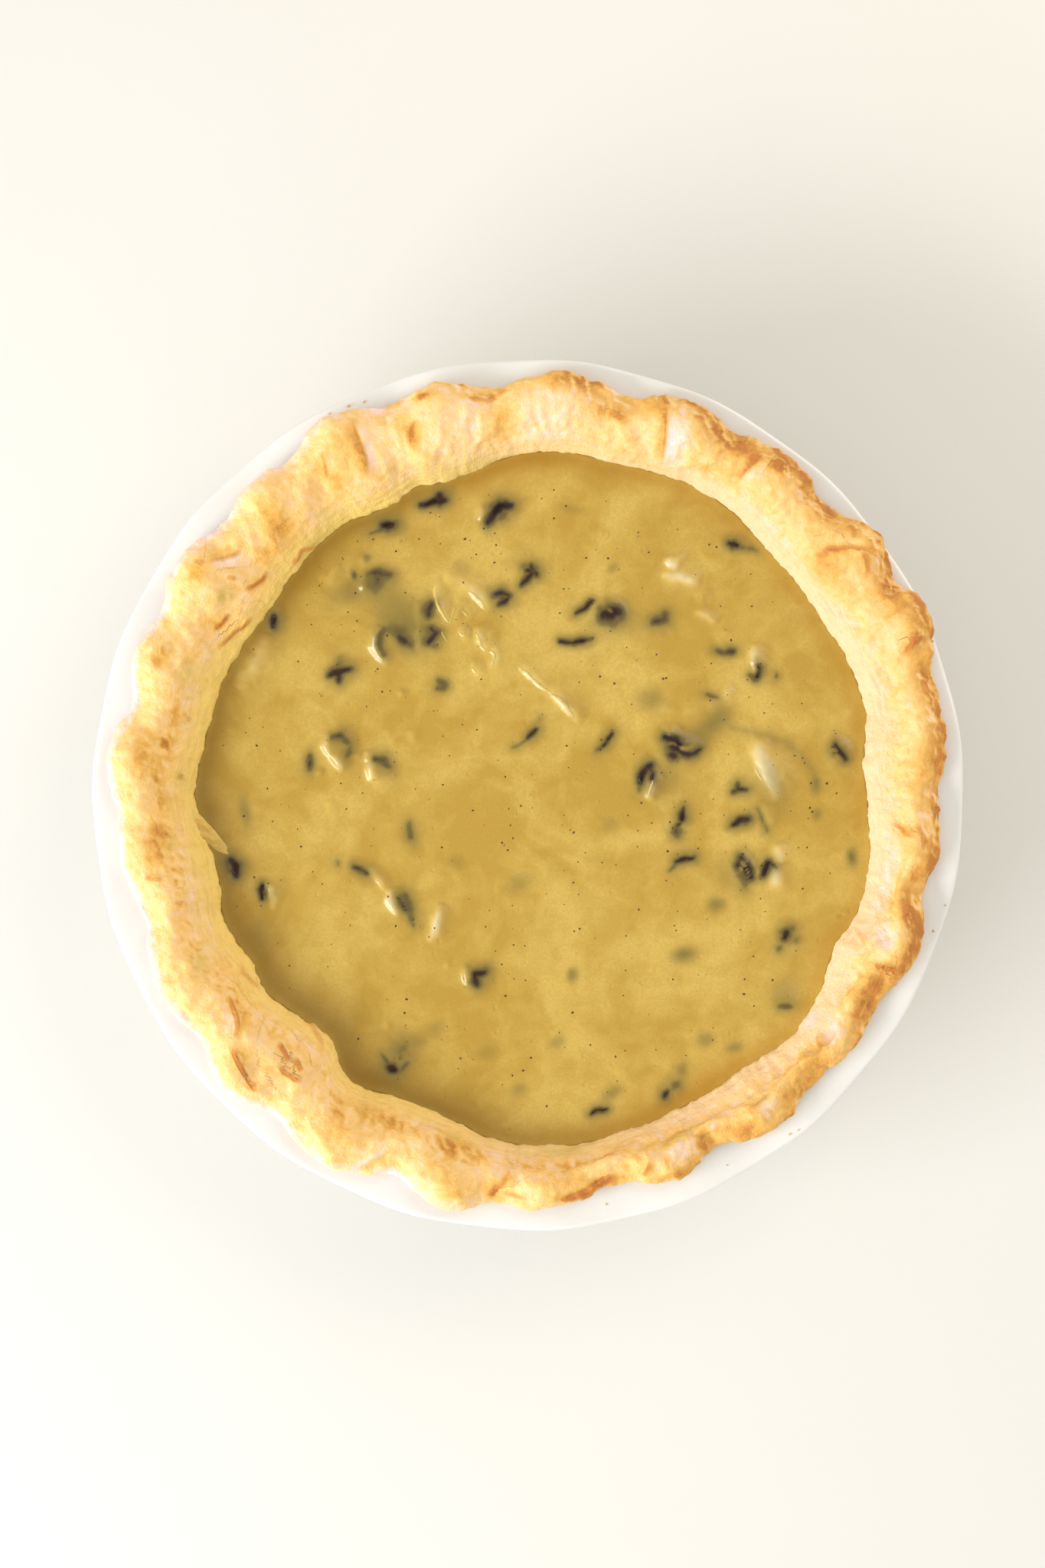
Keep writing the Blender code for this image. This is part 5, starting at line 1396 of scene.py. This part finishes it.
heights = custard_height(*np.random.default_rng(2).uniform(-60, 60, (2, 4000)))
print("The custard's marks reach from", heights.min().round(2), "to", heights.max().round(2), "mm.")

# %% [markdown]
# ## The custard's skin
#
# A round surface of even cells is best laid out from a square: each square ring of
# the grid becomes one round ring. The outermost ring is stretched to the pastry's
# uneven wall and reaches a hair into it, so that no gap shows. From there the skin
# goes down inside the shell and closes at the bottom.

# %% Custard skin
CUSTARD_CELLS = 304  # along one side of the square grid
WALL_BITE = 0.5 * MM  # how far the custard's edge reaches into the pastry
CLIMB = 0.45  # mm that the custard clings up the wall
CLIMB_REACH = 1.6  # mm over which it does so
# The darker edge of the custard by the wall: clock angle, reach in mm and depth of
# colour. Partly a darker baked skin, partly painted shade of the wall, mostly on the
# window's side.
BAKED_EDGE = (
    (0, 4.2, 0.5), (45, 4.2, 0.55), (75, 5.0, 0.7), (90, 6.0, 0.95), (105, 6.0, 0.98), (120, 6.4, 1.0),
    (140, 6.8, 1.0), (152, 5.6, 0.95), (165, 7.0, 0.9), (180, 8.0, 0.8), (195, 8.0, 0.7), (210, 11.0, 0.6),
    (225, 12.0, 0.64), (240, 12.0, 0.85), (256, 8.0, 0.8), (270, 6.0, 0.7), (285, 5.8, 0.75),
    (300, 6.2, 0.85), (316, 5.0, 0.65), (335, 4.2, 0.55),
)
SHADE_REACH = 34.0  # mm from the wall over which painted shade dulls the window's side
SHADE_DEPTH = 0.16


def square_to_disc(a, b):
    """Share of the way out and clock angle in degrees of a point (a, b) of the
    square from -1 to 1: the larger coordinate is the share, and the other divided
    by it turns the point by up to 45 degrees from that axis."""
    flat = np.abs(a) > np.abs(b)
    larger = np.where(flat, a, b)
    safe = np.where(larger == 0, 1.0, larger)
    turn = np.where(flat, 45.0 * b / safe, 90.0 - 45.0 * a / safe)
    return np.abs(larger), (turn + np.where(larger < 0, 180.0, 0.0)) % 360


side = np.linspace(-1, 1, CUSTARD_CELLS + 1)
share, turn = square_to_disc(*np.meshgrid(side, side, indexing="ij"))
edge_radius = custard_radius(turn) + WALL_BITE
flat = share * edge_radius / MM
x, y = flat * np.cos(np.radians(turn)), flat * np.sin(np.radians(turn))
from_wall = (edge_radius / MM) * (1 - share)
lift = custard_height(x, y) * smooth_step(0.0, 2.5, from_wall)
lift = lift + CLIMB * np.exp(-((from_wall / CLIMB_REACH) ** 2))
top = np.stack((x * MM, y * MM, CUSTARD_LEVEL + lift * MM), axis=-1).reshape(-1, 3)
number = np.arange(len(top)).reshape(CUSTARD_CELLS + 1, CUSTARD_CELLS + 1)
cell_corners = (number[:-1, :-1], number[1:, :-1], number[1:, 1:], number[:-1, 1:])
cells = np.stack(cell_corners, axis=-1).reshape(-1, 4)
border = np.concatenate((number[:-1, 0], number[-1, :-1], number[:0:-1, -1], number[0, :0:-1]))
border_degrees = turn.ravel()[border]
below = np.concatenate(
    [
        polar(border_degrees, custard_radius(border_degrees) - 0.6 * MM, 34.0 * MM),
        polar(border_degrees, (81.0 * MM + custard_radius(border_degrees)) / 2 + 0.4 * MM, 23.0 * MM),
        polar(border_degrees, 80.5 * MM, 9.8 * MM),
    ]
)
rings = np.vstack((border, len(top) + np.arange(len(below)).reshape(3, -1)))
after = np.roll(rings, -1, axis=1)
walls = np.stack((rings[:-1], rings[1:], after[1:], after[:-1]), axis=-1).reshape(-1, 4)
bottom = len(top) + len(below)
floor_faces = np.column_stack((np.full(len(border), bottom), after[-1], rings[-1]))
custard_points = np.vstack((top, below, (0, 0, 9.8 * MM)))
custard_faces = cells.tolist() + walls.tolist() + floor_faces.tolist()
# Painted shade of the wall, partly a darker baked skin: the custard darkens toward the wall, a broad painted
# shade dulls the window's side, and a paler lip right at the wall eases the edge.
edge_reach, edge_depth = (eased([(row[0], row[k]) for row in BAKED_EDGE], turn) for k in (1, 2))
pale_lip = 1 - 0.35 * np.exp(-((from_wall / CLIMB_REACH) ** 2))
edge_shade = edge_depth * np.exp(-((from_wall / edge_reach) ** 2)) * pale_lip
dull = SHADE_DEPTH * eased(COOL_SHARE, turn) * np.exp(-((from_wall / SHADE_REACH) ** 2))
edge_shade += dull * (1 - edge_shade)
custard_numbers = {
    name: np.append(values.ravel(), np.zeros(len(below) + 1))
    for name, values in (
        ("raisin_shade", raisin_shade(x, y)[1]), ("near_wall", edge_shade), ("cream", cream_share(x, y)),
        ("cool_side", eased(COOL_SHARE, turn)),
    )
}
print("The custard's skin has", len(custard_faces), "faces.")

# %% [markdown]
# ## The custard's finish
#
# Sour cream custard is a dense, satiny yellow-tan. Light goes a few millimetres into
# it, so its shadows are soft and warm. Two close tones drift through it where the
# spoon folded cream into yolk. Over raisins it turns grey-green first and then
# almost black, as anything dark does under a thin cloudy layer.

# %% Custard material
def through_custard(tree, place, shade_read, plain):
    """The colour of custard over a raisin: from the plain colour through grey-green
    and brown to the raisin's near-black as the shade goes from 0 to 1. The raisin's
    skin is red-brown in places."""
    skin_noise = add_node(tree, "TexNoise", {"Vector": place, "Scale": per_mm(3.4), "Detail": 3.0})
    red_share = add_node(tree, "MapRange", {"Value": skin_noise, 1: 0.45, 2: 0.75, 3: 0.0, 4: 1.0})
    skin_tone = add_node(
        tree, "Mix", {"Factor": red_share, "A": linear("#140706"), "B": linear("#36140F")}, data_type="RGBA"
    )
    colour = plain
    steps = ((0.0, 0.5, linear("#7C6C30")), (0.42, 0.8, linear("#463622")), (0.68, 1.0, skin_tone))
    for low, high, tone in steps:
        share = add_node(tree, "MapRange", {"Value": shade_read, 1: low, 2: high, 3: 0.0, 4: 1.0})
        colour = add_node(tree, "Mix", {"Factor": share, "A": colour, "B": tone}, data_type="RGBA")
    return colour


# Sour cream custard: dense and satiny, with a wet sheen on its ridges; light goes a
# few millimetres into it, which keeps its shadows soft and warm.
custard, tree, shader = new_material("sour_cream_custard")
place = add_node(tree, "TexCoord").outputs["Object"]
READS = ("raisin_shade", "near_wall", "cool_side", "cream")
shade_read, edge_read, shade_side_read, cream_read = (
    add_node(tree, "Attribute", attribute_name=name).outputs["Fac"] for name in READS
)
drift = add_node(
    tree, "TexNoise", {"Vector": place, "Scale": per_mm(38.0), "Detail": 3.0, "Distortion": 1.2}
)
drift_share = add_node(tree, "MapRange", {"Value": drift, 1: 0.36, 2: 0.66, 3: 0.0, 4: 1.0})
curdle = add_node(
    tree, "TexNoise", {"Vector": place, "Scale": per_mm(8.0), "Detail": 4.0, "Distortion": 0.6}
)
curdle_share = add_node(tree, "MapRange", {"Value": curdle, 1: 0.3, 2: 0.7, 3: -0.35, 4: 0.35})
tone_share = add_node(tree, "Math", {0: drift_share, 1: curdle_share}, operation="ADD", use_clamp=True)
tones = add_node(
    tree, "Mix", {"Factor": tone_share, "A": linear("#B5923A"), "B": linear("#CCAD56")}, data_type="RGBA"
)
fine = add_node(tree, "TexNoise", {"Vector": place, "Scale": per_mm(0.8), "Detail": 2.0})
fine_share = add_node(tree, "MapRange", {"Value": fine, 1: 0.3, 2: 0.7, 3: 0.0, 4: 0.3})
grained = add_node(
    tree, "Mix", {"Factor": fine_share, "A": tones, "B": linear("#A5822C")}, data_type="RGBA"
)
# The edge's colour, deeper on the window's side: painted shade of the wall, partly a darker baked skin.
rim_tone = add_node(
    tree, "Mix", {"Factor": shade_side_read, "A": linear("#AC7A10"), "B": linear("#86640A")},
    data_type="RGBA",
)
edged = add_node(tree, "Mix", {"Factor": edge_read, "A": grained, "B": rim_tone}, data_type="RGBA")
# Ridges are painted paler, toward a whitish milk where palest: partly a film of cream, partly a painted glint
# of the window.
creamy_share = add_node(tree, "MapRange", {"Value": cream_read, 1: 0.02, 2: 0.8, 3: 0.0, 4: 0.6})
milky_share = add_node(tree, "MapRange", {"Value": cream_read, 1: 0.3, 2: 0.8, 3: 0.0, 4: 1.0})
milk = add_node(
    tree, "Mix", {"Factor": milky_share, "A": linear("#D6BB6A"), "B": linear("#DDD3AC")}, data_type="RGBA"
)
creamy = add_node(tree, "Mix", {"Factor": creamy_share, "A": edged, "B": milk}, data_type="RGBA")
seen = through_custard(tree, place, shade_read, creamy)
# Pinholes of burst bubbles: one to a cell of 9 mm, kept where its random number is
# high, as a round pit of half a millimetre.
bubbles = add_node(tree, "TexVoronoi", {"Vector": place, "Scale": per_mm(9.0)}, voronoi_dimensions="2D")
pit = add_node(
    tree, "MapRange", {"Value": bubbles, 1: 0.03, 2: 0.085, 3: 1.0, 4: 0.0}, interpolation_type="SMOOTHSTEP"
)
kept = add_node(tree, "SeparateColor", {"Color": bubbles.outputs["Color"]})
kept_share = add_node(tree, "MapRange", {"Value": kept, 1: 0.55, 2: 0.8, 3: 0.0, 4: -1.0})
pitted = add_node(tree, "Math", {0: pit, 1: kept_share}, operation="MULTIPLY")
grain_relief = add_node(tree, "Math", {0: fine, 1: 0.18, 2: pitted}, operation="MULTIPLY_ADD")
bump = add_node(tree, "Bump", {"Height": grain_relief, "Strength": 0.5, "Distance": 0.22 * MM})
plug(
    tree, shader,
    {
        "Base Color": seen, "Normal": bump, "Roughness": 0.24, "IOR": 1.4, "Subsurface Weight": 0.25,
        "Subsurface Radius": (1.0, 0.6, 0.2), "Subsurface Scale": 2.5 * MM,
    },
)
filling = new_piece(
    "spooned_custard", custard_points, custard_faces, custard, "custard", ["filling"], **custard_numbers
)
print("The custard has", len(filling.data.polygons), "faces.")

# %% [markdown]
# ## Crests of the folds
#
# Where a fold of custard turned over, its edge set as a narrow, glossy lip that
# catches the window. Such a lip is finer than the skin's cells, so each one is a
# small mesh of its own: a flattened tube along a smooth line, pointed at both ends
# and half sunk. Its sides keep the custard's colour, and only its back is painted
# creamy: partly cream, partly a painted glint.

# %% Crests of the folds
# Half width and rise in mm, how pale with cream and painted glint, then the points of the line.
CRESTS = (
    (0.75, 0.35, 0.6, (-27.9, 64.6), (-28.5, 63.0), (-28.6, 61.4), (-28.2, 59.6)),
    (0.55, 0.3, 0.4, (-28.4, 60.6), (-27.6, 57.6), (-26.05, 54.8), (-24.05, 52.1)),
    (0.55, 0.3, 0.4, (-24.2, 51.9), (-23.3, 53.6), (-23.0, 55.6), (-22.2, 57.1), (-20.9, 57.8)),
    (1.1, 0.5, 0.8, (-18.6, 62.1), (-16.4, 60.2), (-14.4, 58.0), (-12.9, 56.2)),
    (0.5, 0.3, 0.45, (-20.3, 56.5), (-19.3, 55.4), (-18.2, 54.1)),
    (0.55, 0.3, 0.45, (-21.2, 50.3), (-20.6, 48.9), (-20.0, 48.4), (-19.1, 49.2)),
    (0.4, 0.2, 0.4, (-26.4, 49.9), (-25.7, 48.2), (-24.5, 46.4)),
    (0.8, 0.4, 0.5, (-16.2, 49.6), (-15.3, 47.4), (-14.2, 45.0), (-12.9, 43.3)),
    (0.75, 0.4, 0.65, (-12.6, 43.8), (-11.0, 43.2), (-10.5, 41.9), (-11.0, 40.4), (-11.6, 39.3)),
    (0.55, 0.3, 0.55, (-17.3, 39.0), (-16.6, 37.8), (-15.5, 37.1)),
    (1.0, 0.45, 0.8, (-3.4, 39.3), (-1.2, 37.2), (2.2, 34.0), (5.0, 31.9), (7.6, 30.4)),
    (1.5, 0.6, 0.9, (6.4, 30.8), (9.6, 28.1), (11.7, 25.6), (14.0, 23.2)),
    (0.45, 0.25, 0.6, (69.0, 8.6), (70.0, 6.4), (71.6, 4.0)),
    (0.45, 0.25, 0.5, (-46.8, 48.6), (-47.2, 45.4), (-45.8, 42.4), (-44.0, 40.6)),
    (0.4, 0.2, 0.5, (38.0, 4.6), (37.2, 1.6), (36.4, -1.4)),
    (0.4, 0.2, 0.5, (59.0, 30.0), (60.8, 31.0), (62.4, 31.7)),
)
CREST_ALONG = 36
CREST_AROUND = 16
CREST_WANDER = 0.18  # mm by which a crest leaves its line
CREST_SUNK = 0.25  # share of its rise by which a crest's middle lies lower


def crest_points(half_width, rise, *line):
    """Points and cream of one crest: a smooth line through the given points, and
    round it the oval (half width * cos t, rise * sin t), both times the taper
    (4s(1 - s))^0.45 for the share s of the length. Cream, partly a painted glint, is
    the taper times sin(t)^1.5 on the upper side, and none below."""
    share = np.linspace(0, 1, CREST_ALONG + 2)[1:-1]
    spine = spline_rows(np.array(line)[:, None], share * (len(line) - 1))[:, 0]
    places = np.column_stack((spine, spine[:, 0]))
    spine = spine + CREST_WANDER * np.stack([hills(places, 1.8, seed, 2) for seed in (501, 503)], axis=-1)
    way = np.gradient(spine, axis=0)
    way = way / np.linalg.norm(way, axis=1, keepdims=True)
    taper = (4 * share * (1 - share)) ** 0.45
    taper = (taper * (0.85 + 0.3 * hills(np.column_stack((spine, spine[:, 0])), 1.6, 507, 2)))[:, None]
    turn = np.arange(CREST_AROUND) * 2 * np.pi / CREST_AROUND
    out, up = half_width * taper * np.cos(turn), rise * taper * np.sin(turn)
    flat_x, flat_y = spine[:, :1] - way[:, 1:] * out, spine[:, 1:] + way[:, :1] * out
    level = custard_height(flat_x, flat_y) - CREST_SUNK * rise
    ring = np.stack((flat_x, flat_y, CUSTARD_LEVEL / MM + level + up), axis=-1)
    tips = (ring[0].mean(axis=0), ring[-1].mean(axis=0))
    shine = taper * np.maximum(np.sin(turn), 0.0) ** 1.5
    return np.vstack((ring.reshape(-1, 3), *tips)), np.append(shine.ravel(), (0.0, 0.0))


crest_places, crest_faces, crest_cream = [], [], []
for half_width, rise, pale, *line in CRESTS:
    places, shine = crest_points(half_width, rise, *line)
    first = sum(len(each) for each in crest_places)
    crest_faces += [[first + corner for corner in face] for face in closed_faces(CREST_ALONG, CREST_AROUND)]
    crest_places.append(places)
    crest_cream.append(pale * shine)
crest_places, crest_cream = np.vstack(crest_places), np.concatenate(crest_cream)
crests = new_piece(
    "custard_crests", crest_places * MM, crest_faces, custard, "custard",
    raisin_shade=np.zeros(len(crest_cream)), near_wall=np.zeros(len(crest_cream)),
    cream=np.maximum(crest_cream, cream_share(crest_places[:, 0], crest_places[:, 1])),
    cool_side=np.zeros(len(crest_cream)),
)
print(len(CRESTS), "crests with", len(crests.data.polygons), "faces in all.")

# %% [markdown]
# ## The raisins
#
# A raisin that soaked in custard is plump but still folded lengthways. Each one is
# an oval body, bent by its own curve, with folds that run from tip to tip. Its place
# is in its own mesh, and each stands for its plain node. A number per point tells
# how much of the raisin shows there through its film of custard. The custard's
# skin has the same number, so that the two meet without an edge.

# %% Raisins
RAISIN_AROUND = 44
RAISIN_ALONG = 30
RAISIN_THICKNESS = 0.72  # of its width
FOLD_DEPTH = 0.10  # share of a raisin's half width

# Soaked raisin: near-black violet skin, red-brown where it is thin, wet and glossy.
soaked, tree, shader = new_material("soaked_raisin_skin")
place = add_node(tree, "TexCoord").outputs["Object"]
shade_read = add_node(tree, "Attribute", attribute_name="raisin_shade").outputs["Fac"]
skinned = through_custard(tree, place, shade_read, linear("#BA9940"))
plug(tree, shader, {"Base Color": skinned, "Roughness": 0.3, "Specular IOR Level": 0.25, "IOR": 1.38})

raisin_faces = closed_faces(RAISIN_ALONG, RAISIN_AROUND)


def raisin_points(row, seed):
    """Points of one raisin in mm, about its place: rings from tip to tip, each an
    ellipse of sin(tilt) times the half sizes, pulled in by folds that follow noise
    stretched along the body, and bent by the curve times (along / half)^2."""
    x, y, length, width, degrees, rise, curve, _ = row
    tilt = np.linspace(0, np.pi, RAISIN_ALONG + 2)
    turn = np.arange(RAISIN_AROUND) * 2 * np.pi / RAISIN_AROUND
    tilt, turn = np.meshgrid(tilt, turn, indexing="ij")
    folded = np.stack((1.1 * np.cos(tilt), 2.3 * np.cos(turn), 2.3 * np.sin(turn)), axis=-1)
    folds = np.abs(hills(folded + 20 * seed, 1.0, 131, 2))
    body = 1 - FOLD_DEPTH * 2.2 * (0.55 - folds).clip(0) - 0.05 * hills(folded + 7 * seed, 0.8, 151)
    half_thick = RAISIN_THICKNESS * width / 2
    along = -np.cos(tilt) * length / 2
    across = np.sin(tilt) * np.cos(turn) * width / 2 * body
    up = np.sin(tilt) * np.sin(turn) * half_thick * body
    share = along / (length / 2)
    across = across + curve * (share**2 - BEND_CENTRE) * 0.8
    spin = math.radians(degrees)
    top = up[1:-1].max()
    placed = np.stack(
        (
            x + along * math.cos(spin) - across * math.sin(spin),
            y + along * math.sin(spin) + across * math.cos(spin),
            CUSTARD_LEVEL / MM + rise - top + up,
        ),
        axis=-1,
    )
    return np.vstack((placed[1:-1].reshape(-1, 3), placed[0, 0], placed[-1, 0]))


for number, row in enumerate(RAISINS, 1):
    body = raisin_points(row, number)
    shade = raisin_shade(body[:, 0], body[:, 1])[1]
    new_piece(
        f"soaked_raisin_{number:02d}", body * MM, raisin_faces, soaked, "raisin", [f"raisin_{number:02d}"],
        raisin_shade=shade,
    )
print("Made", len(RAISINS), "raisins of", len(raisin_faces), "faces each.")

# %% [markdown]
# ## Spice and crumbs
#
# Ground cinnamon and nutmeg show as tiny dark specks all over the custard, and a few
# crumbs have dropped on the flange. The specks are scattered at true size by a seeded
# rule and the crumbs are listed, each kind as one joined mesh of small uneven grains.

# %% Spice and crumbs
SPECKS = 420
SPECK_REACH = 96.0  # mm from the middle
SPECK_SIZE = (0.2, 0.46)  # half size in mm
CRUMBS = (
    (307.6, 129.8, 0.5), (308.8, 130.4, 0.35), (341.4, 129.6, 0.4), (345.2, 130.6, 0.35),
    (112.6, 129.0, 0.5), (114.8, 129.8, 0.6), (117.6, 130.2, 0.4), (280.8, 126.4, 0.35),
    (298.2, 127.4, 0.3), (20.8, 131.2, 0.4),
)


def grains(places, sizes, flat, seed):
    """Points and faces of many small grains, each an uneven eight-faced body: six
    points on its axes at 0.7 to 1.3 of its half size, squashed upright by flat."""
    draw = np.random.default_rng(seed)
    corners = np.array(((1, 0, 0), (0, 1, 0), (-1, 0, 0), (0, -1, 0), (0, 0, 1), (0, 0, -1)), float)
    upper_faces = ((0, 1, 4), (1, 2, 4), (2, 3, 4), (3, 0, 4))
    lower_faces = ((1, 0, 5), (2, 1, 5), (3, 2, 5), (0, 3, 5))
    faces = np.array(upper_faces + lower_faces)
    spin = draw.uniform(0, 2 * np.pi, len(places))
    turned = np.stack((np.cos(spin), -np.sin(spin), np.sin(spin), np.cos(spin)), axis=-1).reshape(-1, 2, 2)
    body = corners[None] * draw.uniform(0.7, 1.3, (len(places), 6, 1)) * np.asarray(sizes)[:, None, None]
    body[..., :2] = np.einsum("nij,nkj->nki", turned, body[..., :2])
    body[..., 2] *= flat
    points = (np.asarray(places)[:, None] + body).reshape(-1, 3)
    return points, (faces[None] + 6 * np.arange(len(places))[:, None, None]).reshape(-1, 3).tolist()


draw = np.random.default_rng(404)
out = SPECK_REACH * np.sqrt(draw.uniform(0, 1, SPECKS))
way = draw.uniform(0, 2 * np.pi, SPECKS)
speck_x, speck_y = out * np.cos(way), out * np.sin(way)
speck_sizes = draw.uniform(*SPECK_SIZE, SPECKS) * draw.choice((0.55, 0.8, 1.0), SPECKS)
speck_z = CUSTARD_LEVEL / MM + custard_height(speck_x, speck_y)
points, faces = grains(np.column_stack((speck_x, speck_y, speck_z)), speck_sizes, 0.5, 11)

# Ground spice: dry bark dust, dark brown and matt.
spice, tree, shader = new_material("ground_cinnamon")
place = add_node(tree, "TexCoord").outputs["Object"]
dust = add_node(tree, "TexNoise", {"Vector": place, "Scale": per_mm(5.0)})
brown = add_node(
    tree, "Mix", {"Factor": dust, "A": linear("#2A1808"), "B": linear("#66441C")}, data_type="RGBA"
)
plug(tree, shader, {"Base Color": brown, "Roughness": 0.7})
new_piece("spice_specks", points * MM, faces, spice, "custard")

crumb_rows = np.array(CRUMBS)
turns = np.radians(crumb_rows[:, 0])
crumb_z = flange_top(crumb_rows[:, 0], crumb_rows[:, 1] * MM) / MM + 0.4 * crumb_rows[:, 2]
crumb_x, crumb_y = crumb_rows[:, 1] * np.cos(turns), crumb_rows[:, 1] * np.sin(turns)
points, faces = grains(np.column_stack((crumb_x, crumb_y, crumb_z)), crumb_rows[:, 2], 0.6, 12)
new_piece(
    "pastry_crumbs", points * MM, faces, pastry, "pastry", toast=np.full(len(points), 0.45),
    tear_side=np.full(len(points), 9.0),
)
print("Scattered", SPECKS, "specks and", len(CRUMBS), "crumbs.")
